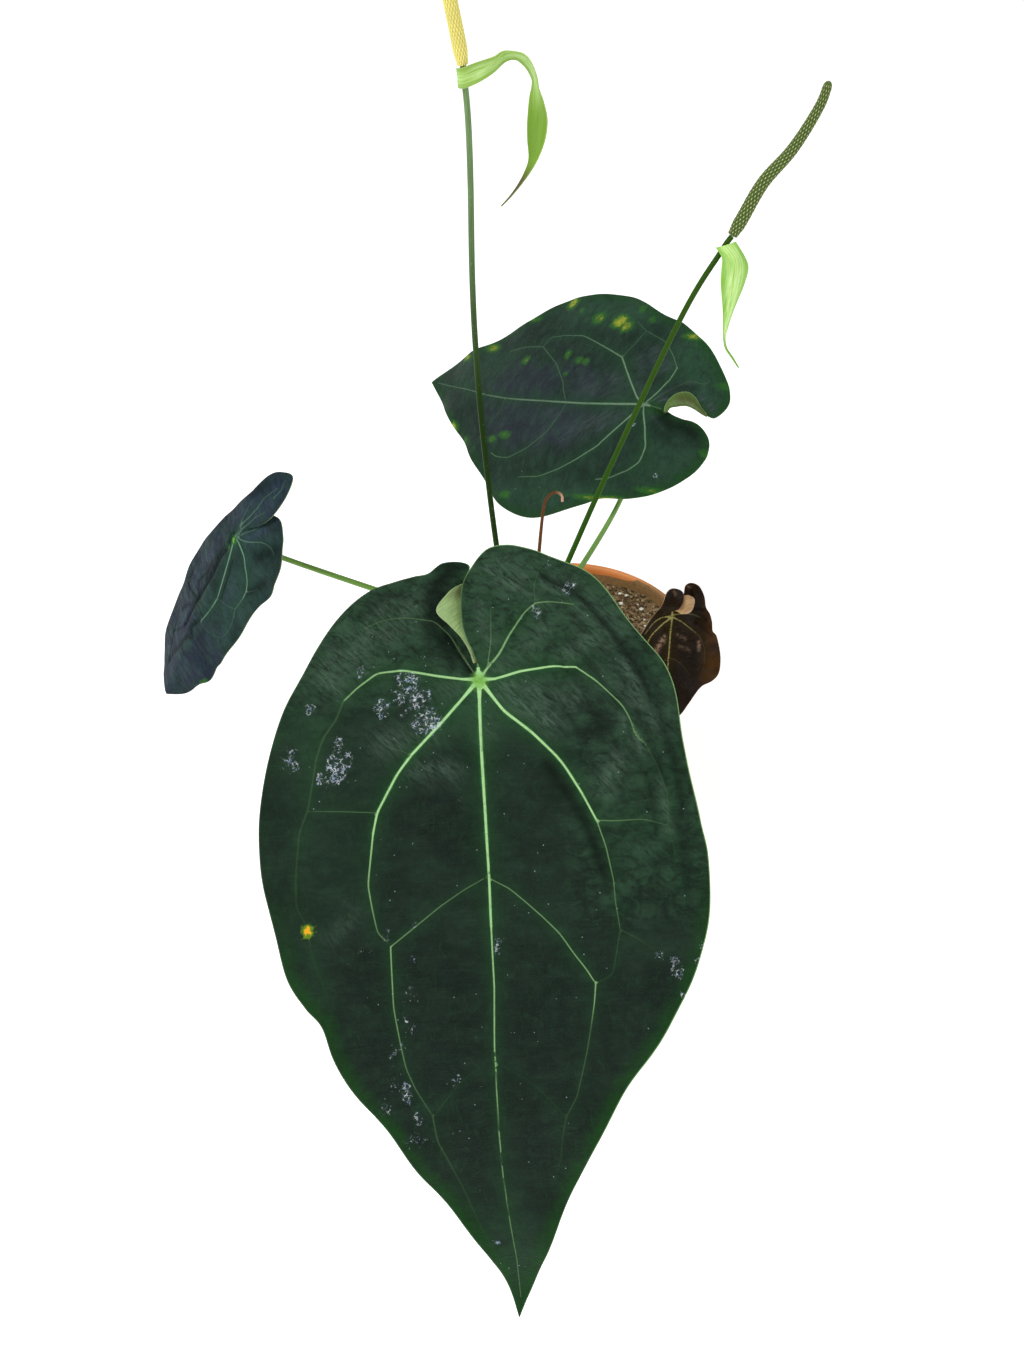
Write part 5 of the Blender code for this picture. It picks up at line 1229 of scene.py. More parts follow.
def pot_paint():
    """Terracotta-coloured plastic: swirls, painted shade down the inner wall and a painted highlight at the lip,
    a stained band inside the rim above the soil that painted shade raises towards +X and onto the rim, and
    grime at the foot.
    """
    inner_slope, inner_foot = 0.165, 49.6  # a cone a little outside the inner wall: what is inside it
    deep_from, deep_to = POT_HEIGHT - 2.0, POT_HEIGHT - 7.0
    lip_from, lip_to = POT_HEIGHT - 3.5, POT_HEIGHT - 0.5
    climb_from, climb_to, climb = 36.0, 62.0, 14.0  # painted shade raises the stained band towards +X
    rim_shade = ((42.0, 56.0, 0.0, 0.75), (POT_HEIGHT - 6.0, POT_HEIGHT - 4.0))
    stain_top, grime_top = 4.3, 14.0
    p = Paint("pot_terracotta_plastic", Roughness=0.45, Specular_IOR_Level=0.4)
    place = body_place(p)
    x, y, height = p.node("SeparateXYZ", {0: place}).outputs[:]
    colour = p.mix(p.band(p.noise(place, 30, 3), 0.35, 0.65), (0.70, 0.215, 0.050), (0.80, 0.28, 0.08))
    swirl = p.noise(body_place(p, (1, 1, 0.25)), 9, 4, 0.6, 0.8)
    colour = p.mix(p.band(swirl, 0.5, 0.72, 0.0, 0.25), colour, (0.86, 0.36, 0.13))
    radius = p.calc("SQRT", p.plus(p.calc("POWER", x, 2.0), p.calc("POWER", y, 2.0)))
    within = p.band(p.minus(radius, p.scaled(height, inner_slope, inner_foot)), 0.9, 0.2)
    # Painted shade: the inner wall darkens from just below the lip down into the pot
    deep = p.times(within, p.band(height, deep_from, deep_to, 0.0, 0.45))
    colour = p.mix(deep, colour, (0.50, 0.125, 0.018))
    # Painted highlight: lighter at the top of the lip
    colour = p.mix(p.band(height, lip_from, lip_to, 0.0, 0.5), colour, (0.86, 0.31, 0.09))
    soil_top = p.plus(p.plus(p.times(x, SOIL_TILT[0]), p.times(y, SOIL_TILT[1])), SOIL_LEVEL)
    above = p.plus(p.minus(height, soil_top), p.swing(p.noise(place, 5, 4, 0.65), 1.8))
    # Towards +X the band climbs higher and reaches onto the rim: painted shade, over the real stained band near the
    # soil
    above = p.minus(above, p.band(x, climb_from, climb_to, 0.0, climb))
    within = p.most(within, p.times(p.band(x, *rim_shade[0]), p.band(height, *rim_shade[1])))
    stain_and_shade = p.times(p.band(above, stain_top, stain_top - 1.0), within)
    stain_and_shade_tone = p.mix(p.band(p.noise(place, 2.5, 4, 0.7), 0.4, 0.65), (0.25, 0.15, 0.055), (0.15, 0.10, 0.045))
    colour = p.mix(p.times(stain_and_shade, 0.92), colour, stain_and_shade_tone)
    ragged = p.plus(height, p.swing(p.noise(place, 6, 4, 0.65), 7.0))
    grime = p.times(p.band(p.noise(place, 2.2, 4, 0.7), 0.55, 0.68), p.band(ragged, grime_top, 2.0))
    colour = p.mix(p.times(grime, 0.5), colour, (0.13, 0.08, 0.045))
    specks = p.band(p.noise(place, 0.9, 2, 0.6), 0.70, 0.76)
    colour = p.mix(p.times(specks, 0.3), colour, (0.2, 0.09, 0.04))
    rough = p.plus(p.scaled(p.noise(place, 5, 4), 0.25, 0.32), p.times(stain_and_shade, 0.25))
    fine = p.plus(p.noise(place, 0.5, 2), p.times(p.noise(body_place(p, (1, 1, 0.3)), 6, 3), 0.8))
    return p.finish(colour, rough, p.bump(fine, 0.18, 0.3))


def make_pot():
    """The pot: a turned shell with rounded lip, collar step and foot, cut by its drain holes."""
    collar = POT_HEIGHT - COLLAR_HEIGHT
    wall_top = inner_radius(collar) + WALL
    lip = RIM_RADIUS - 0.05
    profile = [
        (BASE_RADIUS - 6, 0.9), (BASE_RADIUS - 5.2, 0.05), (BASE_RADIUS - 1.9, 0.02), (BASE_RADIUS - 0.9, 0.35),
        (BASE_RADIUS - 0.1, 1.3), (BASE_RADIUS + 0.3, 4.5),
    ]
    for height in np.linspace(12, collar - 6, 10):
        profile.append((inner_radius(height) + WALL - 0.06, height))
    profile += [
        (wall_top - 0.35, collar - 2.2), (wall_top - 0.1, collar - 1.2), (wall_top + COLLAR_STEP - 0.8, collar - 0.25),
        (wall_top + COLLAR_STEP - 0.1, collar + 0.5), (wall_top + COLLAR_STEP + 0.05, collar + 1.8),
        (wall_top + COLLAR_STEP - 0.2, collar + 2.6), (lip - 0.75, POT_HEIGHT - 3.6),
        (lip - 0.2, POT_HEIGHT - 2.8), (lip, POT_HEIGHT - 1.9), (lip - 0.15, POT_HEIGHT - 1.1),
        (lip - 0.6, POT_HEIGHT - 0.45), (lip - 1.3, POT_HEIGHT - 0.08), (lip - 2.1, POT_HEIGHT - 0.1),
        (lip - 2.8, POT_HEIGHT - 0.5), (inner_radius(POT_HEIGHT - 1.6) + 0.12, POT_HEIGHT - 1.4),
        (inner_radius(POT_HEIGHT - 3) + 0.05, POT_HEIGHT - 3),
    ]
    for height in np.linspace(POT_HEIGHT - 14, 12, 9):
        profile.append((inner_radius(height), height))
    profile += [(inner_radius(FLOOR + 4), FLOOR + 4), (BASE_RADIUS - WALL - 4, FLOOR)]
    material = pot_paint()
    pot = lathe("pot_shell", profile, 160, material)
    cutters = []
    for number in range(DRAIN_HOLES):
        angle = 2 * math.pi * (number + 0.5) / DRAIN_HOLES
        at = (DRAIN_RING * math.cos(angle), DRAIN_RING * math.sin(angle))
        cutter = lathe(f"drain_{number}", [(DRAIN_RADIUS, -2), (DRAIN_RADIUS, FLOOR + 2)], 28, material, at)
        modifier = pot.modifiers.new("drain", "BOOLEAN")
        modifier.operation = "DIFFERENCE"
        modifier.solver = "EXACT"
        modifier.object = cutter
        cutters.append(cutter)
    graph = bpy.context.evaluated_depsgraph_get()
    cut = bpy.data.meshes.new_from_object(pot.evaluated_get(graph))
    pot.modifiers.clear()
    pot.data = cut
    cut.shade_smooth()
    cut.set_sharp_from_angle(angle=math.radians(LATHE_SMOOTH))
    for cutter in cutters:
        bpy.data.objects.remove(cutter, do_unlink=True)
    claim(pot, "pot")


# Soil


def soil_height(x, y):
    """Height of the soil, as in the part."""
    lumps = 0.8 * math.sin(0.13 * x + 1) * math.cos(0.11 * y) + 0.5 * math.sin(0.31 * x - 0.27 * y)
    return SOIL_LEVEL + SOIL_TILT[0] * x + SOIL_TILT[1] * y + lumps


def rough_ground(x, y):
    """The same height, a little lower, with fine and coarse lumps."""
    fine = noise.noise(Vector((x * 0.55, y * 0.55, 3))) * 0.75 + noise.noise(Vector((x * 1.3, y * 1.3, 7))) * 0.35
    coarse = noise.noise(Vector((x * 0.16, y * 0.16, 1))) * 1.1
    return soil_height(x, y) - 0.7 + fine + coarse


def soil_paint():
    p = Paint("potting_mix_brown", Roughness=0.95, Specular_IOR_Level=0.15)
    place = body_place(p)
    colour = p.mix(p.band(p.noise(place, 3.0, 5, 0.75), 0.35, 0.65), (0.10, 0.060, 0.030), (0.28, 0.18, 0.09))
    middle, tone = p.cells(place, 1.3)
    tone = p.node("SeparateColor", {0: tone}).outputs[0]
    colour = p.mix(p.band(tone, 0.72, 0.98, 0.0, 0.8), colour, (0.46, 0.36, 0.20))
    colour = p.mix(p.band(tone, 0.42, 0.12, 0.0, 0.85), colour, (0.026, 0.016, 0.009))
    colour = p.mix(p.band(p.noise(place, 14, 3), 0.62, 0.72, 0.0, 0.5), colour, (0.07, 0.10, 0.022))
    relief = p.plus(p.noise(place, 0.9, 4, 0.7), p.times(middle, -0.6))
    return p.finish(colour, p.scaled(tone, 0.15, 0.82), p.bump(relief, 0.7, 0.8))


def chip_paint(name, dark, light, size=2.0, rough=0.85):
    p = Paint(name, Roughness=rough, Specular_IOR_Level=0.2)
    place = body_place(p)
    colour = p.mix(p.band(p.noise(place, size, 3, 0.6), 0.35, 0.65), dark, light)
    grain = p.noise(place, 0.5, 3, 0.7)
    colour = p.mix(p.band(grain, 0.55, 0.7, 0.0, 0.35), colour, toned(dark, 0.5))
    return p.finish(colour, p.plus(p.times(grain, 0.2), rough - 0.1), p.bump(grain, 0.5, 0.3))


def round_mesh():
    """A round of 42 points: an icosahedron with each of its faces split in four."""
    golden = (1 + math.sqrt(5)) / 2
    corners = [Vector(v).normalized() for v in (
        (-1, golden, 0), (1, golden, 0), (-1, -golden, 0), (1, -golden, 0), (0, -1, golden), (0, 1, golden),
        (0, -1, -golden), (0, 1, -golden), (golden, 0, -1), (golden, 0, 1), (-golden, 0, -1), (-golden, 0, 1))]
    halves, split = {}, []
    for a, b, c in ((0, 11, 5), (0, 5, 1), (0, 1, 7), (0, 7, 10), (0, 10, 11), (1, 5, 9), (5, 11, 4),
                    (11, 10, 2), (10, 7, 6), (7, 1, 8), (3, 9, 4), (3, 4, 2), (3, 2, 6), (3, 6, 8), (3, 8, 9),
                    (4, 9, 5), (2, 4, 11), (6, 2, 10), (8, 6, 7), (9, 8, 1)):
        mids = []
        for pair in ((a, b), (b, c), (c, a)):
            key = tuple(sorted(pair))
            if key not in halves:
                corners.append((corners[pair[0]] + corners[pair[1]]).normalized())
                halves[key] = len(corners) - 1
            mids.append(halves[key])
        ab, bc, ca = mids
        split += [(a, ab, ca), (b, bc, ab), (c, ca, bc), (ab, bc, ca)]
    return corners, split


ROUND_CORNERS, ROUND_FACES = round_mesh()


def lump(centre, size, seed, rough):
    """An irregular little stone or crumb: the round mesh, pushed in and out."""
    shift = Vector((seed * 7.1, seed * 3.3, seed * 1.7))
    points = []
    for corner in ROUND_CORNERS:
        push = 1 + rough * noise.noise(corner * 1.7 + shift) + 0.5 * rough * noise.noise(corner * 4 + shift)
        points.append([centre[i] + corner[i] * size[i] * push for i in range(3)])
    return points, ROUND_FACES


def splinter(centre, length, width, heading, pitch, bow):
    """A thin bent bit of bark or straw, six-sided and tapered."""
    rings, sides = 5, 6
    points = []
    ahead = np.array((math.cos(heading) * math.cos(pitch), math.sin(heading) * math.cos(pitch), math.sin(pitch)))
    left = np.array((-math.sin(heading), math.cos(heading), 0))
    up = np.cross(ahead, left)
    for t in np.linspace(-0.5, 0.5, rings):
        middle = np.array(centre) + ahead * length * t + left * bow * (0.25 - t * t) * length
        taper = 1 - 0.5 * abs(2 * t) ** 3
        for side in range(sides):
            angle = 2 * math.pi * side / sides
            points.append(middle + taper * width * (math.cos(angle) * left + 0.5 * math.sin(angle) * up))
    ends = [tuple(range(sides))[::-1], tuple(range((rings - 1) * sides, rings * sides))]
    return points, ring_faces(rings, sides) + ends


def scatter(name, makers, material, smooth):
    """Many small meshes as one piece of the soil."""
    points, faces = [], []
    for some, its in makers:
        faces += [tuple(c + len(points) for c in f) for f in its]
        points += list(some)
    return claim(mesh_object(name, points, faces, [material], smooth=smooth), None)


def make_soil():
    """The soil's rough body, and crumbs, perlite, bark and straw strewn on it."""
    rings, sides = 62, 150
    points = []
    foot = FLOOR + 0.3
    for radius, height in ((inner_radius(foot) - 4.5, foot), (inner_radius(foot + 5) - 1.2, foot + 5)):
        for side in range(sides):
            angle = 2 * math.pi * side / sides
            points.append((radius * math.cos(angle), radius * math.sin(angle), height))
    for ring in range(rings, 0, -1):
        for side in range(sides):
            angle = 2 * math.pi * side / sides
            radius = (inner_radius(SOIL_LEVEL) - 0.9) * ring / rings
            x, y = radius * math.cos(angle), radius * math.sin(angle)
            height = rough_ground(x, y)
            if ring == rings:
                edge = inner_radius(height) - 0.35
                x, y = edge * math.cos(angle), edge * math.sin(angle)
            points.append((x, y, height))
    faces = [tuple(range(sides))[::-1]]
    for a, b, c, d in ring_faces(rings + 2, sides):
        faces += [(a, b, c), (a, c, d)]
    points.append((0, 0, rough_ground(0, 0)))
    last = (rings + 1) * sides
    faces += [(last + side, last + (side + 1) % sides, len(points) - 1) for side in range(sides)]
    material = soil_paint()
    claim(mesh_object("soil_filling", points, faces, [material], smooth=70), "soil")
    draw = random.Random(7)

    def spot(reach):
        radius = reach * math.sqrt(draw.random())
        angle = draw.random() * 2 * math.pi
        return radius * math.cos(angle), radius * math.sin(angle)

    def stones(count, reach, sizes, lift, breadths, heights, seed, rough):
        made = []
        for number in range(count):
            x, y = spot(reach)
            size = draw.uniform(*sizes)
            extent = (size, size * draw.uniform(*breadths), size * draw.uniform(*heights))
            made.append(lump((x, y, rough_ground(x, y) + lift * size), extent, seed + number, rough))
        return made

    def splinters(count, reach, lift, lengths, widths, pitches, bows):
        made = []
        for _ in range(count):
            x, y = spot(reach)
            drawn = [draw.uniform(*span) for span in (lengths, widths, (0, 6.3), pitches, bows)]
            made.append(splinter((x, y, rough_ground(x, y) + lift), *drawn))
        return made

    crumbs = stones(520, 68.5, (0.5, 1.7), 0.25, (0.6, 1), (0.5, 0.9), 0, 0.6)
    perlite = stones(75, 67, (0.45, 1.5), 0.3, (0.7, 1), (0.6, 0.9), 900, 0.45)
    bark = splinters(120, 66, 0.5, (2, 5), (0.6, 1.3), (-0.3, 0.3), (-0.2, 0.2))
    straw = splinters(70, 67, 0.6, (3, 9), (0.15, 0.32), (-0.35, 0.35), (-0.4, 0.4))
    scatter("soil_crumbs", crumbs, material, 50)
    scatter("soil_perlite", perlite, chip_paint("perlite_white", (0.72, 0.70, 0.62), (0.95, 0.94, 0.90)), 40)
    scatter("soil_bark", bark, chip_paint("bark_brown", (0.07, 0.035, 0.018), (0.2, 0.11, 0.055)), 40)
    scatter("soil_straw", straw, chip_paint("straw_tan", (0.3, 0.2, 0.1), (0.5, 0.38, 0.22)), 40)


# Crown


def crown_paint():
    p = Paint("crown_bark", Roughness=0.8, Specular_IOR_Level=0.2)
    place = body_place(p)
    height = p.node("SeparateXYZ", {0: place}).outputs[2]
    colour = p.mix(p.band(p.noise(place, 5, 4, 0.65), 0.35, 0.65), (0.12, 0.085, 0.04), (0.26, 0.2, 0.09))
    colour = p.mix(p.band(height, 128, 141, 0.0, 0.7), colour, (0.16, 0.22, 0.06))
    fibres = p.noise(body_place(p, (1, 1, 0.15)), 1.0, 3, 0.7)
    colour = p.mix(p.band(fibres, 0.5, 0.68, 0.0, 0.7), colour, (0.06, 0.038, 0.02))
    return p.finish(colour, p.scaled(fibres, 0.3, 0.6), p.bump(fibres, 0.6, 0.6))


def sheath_paint():
    p = Paint("dry_sheath", Roughness=0.7, Specular_IOR_Level=0.25)
    streaks = p.noise(p.place("flat", (0.08, 1, 1)), 0.9, 3, 0.6)
    colour = p.mix(p.band(streaks, 0.35, 0.65), (0.17, 0.09, 0.04), (0.36, 0.24, 0.12))
    colour = p.mix(p.band(p.noise(body_place(p), 4, 3), 0.5, 0.7, 0.0, 0.5), colour, (0.12, 0.15, 0.05))
    return p.finish(colour, p.scaled(streaks, 0.25, 0.5), p.bump(streaks, 0.5, 0.3))


def make_crown():
    """The short stem at the foot of all stalks, with leaf scars, dry sheaths and thick roots."""
    clear, shoulder = SOIL_LEVEL + 2, CROWN_TOP - 4
    profile = [(CROWN_RADIUS - 4, 100), (CROWN_RADIUS, 112), (CROWN_RADIUS, clear - 2)]
    for height in np.linspace(clear, shoulder, 26):
        t = (height - clear) / (shoulder - clear)
        scar = 0.55 * abs(math.sin(4.5 * math.pi * t)) ** 0.5
        belly = 1.9 * math.sin(math.pi * min(1, 1.3 * t + 0.15))
        profile.append((CROWN_BULGE - 2.6 + belly + scar - 2.2 * t**3, height))
    profile += [(CROWN_BULGE - 6.5, CROWN_TOP - 1.6), (CROWN_BULGE - 9.5, CROWN_TOP - 0.5), (2.0, CROWN_TOP - 0.1)]

    def shift(point):
        push = 0.7 * noise.noise(Vector(point) * 0.28) + 0.35 * noise.noise(Vector(point) * 0.9)
        off = point[:2] - np.array(CROWN_AT)
        point[:2] = np.array(CROWN_AT) + off * (1 + push / max(4.0, np.linalg.norm(off)))
        return point

    claim(lathe("crown_stem_fine", profile, 72, crown_paint(), CROWN_AT, shift), "crown")
    draw = random.Random(11)
    dry = sheath_paint()
    for number in range(9):
        angle = 2 * math.pi * (number + 0.3 * draw.random()) / 9
        out = np.array((math.cos(angle), math.sin(angle), 0))
        low = np.array((*CROWN_AT, 126 + draw.uniform(-2, 5))) + out * (CROWN_BULGE - 1.0)
        high = low + np.array((0, 0, draw.uniform(11, 22))) - out * draw.uniform(1, 4)
        side = np.array((-math.sin(angle), math.cos(angle), 0))
        rows, wide = [], draw.uniform(3.5, 5.5)
        for t in np.linspace(0, 1, 14):
            lean = out * 1.6 * math.sin(math.pi * t) + side * draw.uniform(-0.15, 0.15)
            half = side * wide * (1 - t**1.7) ** 0.8 + side * 0.12
            rows.append((low + (high - low) * t + lean, half, 1.5 * (1 - t)))
        strap(f"crown_sheath_{number}", rows, dry)
    root = chip_paint("root_tan", (0.24, 0.17, 0.09), (0.4, 0.31, 0.18), 3.0, 0.75)
    for number in range(8):
        angle = 2 * math.pi * (number + 0.5 * draw.random()) / 8
        out = np.array((math.cos(angle), math.sin(angle), 0))
        start = np.array((*CROWN_AT, draw.uniform(124, 130))) + out * (CROWN_BULGE - 3)
        reach = draw.uniform(7, 13)
        end = start + out * reach
        end[2] = soil_height(end[0], end[1]) - 3
        middle = start + out * reach * 0.55 + np.array((0, 0, -0.2))
        thick = draw.uniform(1.0, 1.5)

        def radius_at(t, angle):
            return thick * (1.1 - 0.35 * t) + 0.08 * math.sin(23 * t + 2 * angle)

        line = smooth_line([start, middle, end], 0.8)
        claim(tube(f"crown_root_{number}", line, radius_at, 12, root), None)


def strap(name, rows, material):
    """A thin lofted strip from rows of (centre, half width vector, camber)."""
    points, flats = [], []
    across = np.linspace(-1, 1, 7)
    for number, (centre, half, camber) in enumerate(rows):
        run = rows[min(number + 1, len(rows) - 1)][0] - rows[max(number - 1, 0)][0]
        out = np.cross(half, run)
        out /= np.linalg.norm(out)
        for s in across:
            points.append(centre + half * s - out * camber * (s * s))
            flats.append((number, s * np.linalg.norm(half), 0))
    points = np.array(points)
    thick = np.full(len(points), 0.12)
    faces = grid_faces(len(rows), len(across))
    made = sheet(name, points, faces, [material, material], dict(flat=np.array(flats, float)), thick, thick)
    return claim(made, None)


# Leaf looks


def young_paint():
    """The glossy bronze face of the young leaf: dark, with amber towards its side and brushed shine."""
    p = Paint("leaf_young_bronze", Specular_IOR_Level=0.07)
    flat = p.place()
    colour = p.mix(p.band(p.noise(flat, 14, 3), 0.35, 0.65), (0.0058, 0.0030, 0.0014), (0.0110, 0.0054, 0.0022))
    across = p.node("SeparateXYZ", {0: flat}).outputs[1]
    amber = p.times(p.band(across, 14.0, 24.0), p.band(p.noise(flat, 7, 3), 0.3, 0.6, 0.4, 1.0))
    colour = p.mix(amber, colour, (0.050, 0.021, 0.0045))
    net = p.band(p.cell_edge(flat, 4.0), 0.06, 0.0)
    colour = p.mix(p.times(net, 0.05), colour, (0.030, 0.016, 0.006))
    brushed = p.noise(p.place(stretch=(1, 0.2, 1), turn=-0.4), 1.2, 5, 0.65, 1.0)
    colour = p.mix(p.band(brushed, 0.52, 0.75, 0.0, 0.6), colour, (0.036, 0.024, 0.016))
    # Painted shade in the folds
    colour = p.mix(p.field("fold_shade"), colour, (0.003, 0.0018, 0.001))
    # Painted highlights: the shine along the young leaf's glossy streaks
    shine = p.times(p.field("sheen_strength"), p.band(p.noise(flat, 1.4, 4, 0.7), 0.38, 0.6, 0.1, 1.0))
    colour = p.mix(shine, colour, (0.28, 0.175, 0.115))
    colour = p.mix(p.times(p.field("glow"), 0.4), colour, (0.038, 0.028, 0.006))
    core = p.times(p.band(p.field("core"), 0.2, -0.15), p.field("bright"))
    colour = p.mix(core, colour, (0.25, 0.22, 0.075))
    colour = p.mix(p.band(p.field("margin"), 0.5, 0.1, 0.0, 0.7), colour, (0.11, 0.045, 0.022))
    relief = p.plus(p.times(net, 0.3), p.noise(flat, 2.6, 4, 0.6))
    rough = p.scaled(p.noise(flat, 5, 3), 0.25, 0.16)
    return p.finish(colour, rough, p.bump(relief, 0.35, 0.5))


def low_margin(u, v):
    """How green the front leaf's edge band is: most towards the tip."""
    return 0.1 + 0.6 * smooth_step((u - 70) / 50)


def front_rumple(u, v):
    """How much the front leaf is quilted and creased: most on its lobes and in its upper half."""
    side = 0.65 * smooth_step((v - 25) / 20) * smooth_step((110 - u) / 30)
    return 0.15 + 0.85 * np.maximum(smooth_step((30 - u) / 50), side)


def front_edge(u, v):
    """How pale its thin edge line is: most on the right and on the top lobe."""
    return 0.2 + 0.8 * smooth_step((v + 10) / 20) * smooth_step((200 - u) / 60)


def front_cool(u, v):
    """Bluish towards its tip."""
    return 0.3 * smooth_step((u - 95) / 50)


def front_shade(t, part):
    """The front leaf's folded margin is shaded by its crease and at its far end."""
    low = 0.85 * float(smooth_step((part - 0.7) / 0.16)) * (1 - t) ** 0.5
    high = 0.45 * float(smooth_step((0.3 - part) / 0.25))
    return min(0.9, low + 0.5 * (1 - t) ** 2 + high)


def rear_margin(u, v):
    """The rear leaf's green edge band, stronger on its lobes."""
    return 0.7 + 0.3 * smooth_step((-u + 10) / 40)


def rear_cool(u, v):
    """The bluish middle of the rear leaf: a painted bluish sheen."""
    return 0.36 - 0.8 * smooth_step(np.hypot((u - 78) / 85, (v - 2) / 55) ** 1.3)


def rear_shade(t, part):
    """The rear leaf's folded margin is shaded in the middle of its fold."""
    return 0.75 * float(smooth_step((part - 0.25) / 0.2)) * max(0.0, 1 - 1.5 * abs(t - 0.35))


def left_rumple(u, v):
    """The left leaf is creased most beyond its long fold."""
    return 0.45 + 0.3 * smooth_step((2 - v) / 8)


def left_cool(u, v):
    """The bluish strip beyond the left leaf's crease, its long lobe, and its lower end: a painted bluish sheen."""
    crease_u = [-52, -30, 0, 7, 17, 27, 40, 50, 61, 74, 127]
    crease_v = [9, 2, -0.5, -1, -4.8, -6, -9.8, -12, -14, -16, 0]
    strip = smooth_step((np.interp(u, crease_u, crease_v) - v) / 2.5 + 0.5)
    low = smooth_step((u - 57) / 8)
    return -0.38 + 0.8 * np.maximum(np.maximum(strip, low), smooth_step((-u - 20) / 10))


# Leaves

front_top = velvet(
    "leaf_front_velvet", base=(0.0125, 0.0240, 0.0160), cool=(0.0088, 0.0160, 0.0122),
    green=(0.016, 0.066, 0.020), vein=(0.42, 0.73, 0.31), margin=((0.011, 0.064, 0.009), (0.22, 0.40, 0.15)),
    painted_sheen=(0.095, 0.150, 0.108),
    spots=(((0.8, 0), 0.3, 5.2, (0.23, 0.52, 0.05), (0.17, 0.43, 0.05)),
           ((92, -67), 1.9, 2.9, (0.85, 0.42, 0.02), (0.14, 0.26, 0.015))),
)
rear_top = velvet(
    "leaf_rear_velvet", base=(0.0125, 0.0260, 0.0190), cool=(0.0215, 0.0235, 0.0385),
    green=(0.016, 0.062, 0.022), vein=(0.17, 0.26, 0.17), margin=((0.014, 0.060, 0.014), (0.06, 0.13, 0.04)),
    painted_sheen=(0.070, 0.086, 0.100),
)
left_top = velvet(
    "leaf_left_velvet", base=(0.0130, 0.0250, 0.0250), cool=(0.0150, 0.0160, 0.0460),
    green=(0.016, 0.056, 0.030), vein=(0.17, 0.29, 0.21), margin=((0.012, 0.030, 0.022), (0.03, 0.05, 0.04)),
    painted_sheen=(0.055, 0.070, 0.130), specular=0.04, sheen=0.015,
    spots=(((0.5, 1.2), 1.3, 3.8, (0.13, 0.33, 0.05), (0.035, 0.13, 0.03)),
           ((7, -1.0), 0.4, 3.0, (0.05, 0.16, 0.03), (0.03, 0.10, 0.03))),
)
pale_under = underside("leaf_underside_pale", (0.13, 0.20, 0.09), (0.25, 0.37, 0.16), (0.30, 0.40, 0.18))
rear_under = underside("leaf_underside_rear", (0.13, 0.20, 0.09), (0.25, 0.37, 0.16),
                       turned=(0.085, 0.165, 0.026))
young_under = underside("leaf_underside_bronze", (0.10, 0.045, 0.025), (0.3, 0.2, 0.08), (0.42, 0.30, 0.19),
                        glossy=0.5, turned=(0.46, 0.27, 0.115))

# Each patch of residue, yellow or fresh green: its middle, its reaches along u and v, and its strength
make_blade(
    "leaf_front_fine", "leaf_front_blade", "leaf_velvet", FRONT_LEAF, [front_top, pale_under], front_shade,
    rimmed=low_margin, edged=front_edge, rumple=front_rumple, cooled=front_cool, dusty=1.0,
    residue=[((1.7, -29), (9, 7), 1), ((7, -24), (8, 7), 1), ((17, -21), (8, 8), 1.1), ((10, -38), (6, 6), 0.95),
             ((10, -31), (8, 6), 0.8), ((-4.6, -46.3), (4, 3), 0.95), ((9.3, -66), (5, 3), 0.95),
             ((23, -55), (5, 3), 0.95), ((33, -56), (7, 6), 1.15), ((35, -61), (5, 4), 1.05),
             ((29.5, -51), (5, 4), 0.9), ((28.3, -73.5), (7, 5), 0.95), ((-9, -20), (6, 6), 0.7),
             ((-36, 39), (5, 4), 1), ((-49, 34), (5, 8), 0.8), ((-26, 25), (5, 3), 0.95), ((48, -8), (4, 3), 0.75),
             ((104, 4.3), (5, 3), 0.93), ((95, -38), (5, 4), 0.71), ((100, -47), (4, 7), 0.67),
             ((94, -26), (6, 6), 0.62), ((105, -28), (4, 6), 0.62), ((119, -31), (7, 5), 0.71),
             ((131, -31), (6, 6), 0.76), ((138, -36), (6, 7), 0.71), ((150, -38), (8, 5), 0.76),
             ((156, -34), (6, 3), 0.98), ((161, -43), (4, 5), 0.85), ((166, -31), (4, 3), 0.89),
             ((153, -16), (6, 5), 0.67), ((170, -14), (6, 4), 0.62), ((173, -32), (6, 7), 0.76),
             ((219.3, -5.6), (1.8, 1.8), 1.5), ((110.5, 66), (3, 3), 0.89), ((114, 71), (4, 4), 0.93),
             ((118, 73), (4, 4), 0.93), ((114, 81), (4, 4), 0.93), ((125, 74), (4, 3), 0.89),
             ((107, 82), (4, 2.5), 0.93), ((180, -20), (14, 14), 0.4), ((60, -30), (30, 20), 0.35)],
    fresh=[((-30, 25), (40, 45), 0.9), ((-20, -40), (30, 35), 0.7), ((0, 0), (24, 24), 1.0),
           ((30, 75), (60, 12), 0.5), ((10, -68), (40, 10), 0.5), ((228, 0), (30, 12), 0.5),
           ((60, 60), (30, 20), 0.5), ((40, -60), (60, 18), 0.2), ((100, -70), (30, 12), 0.2)],
)
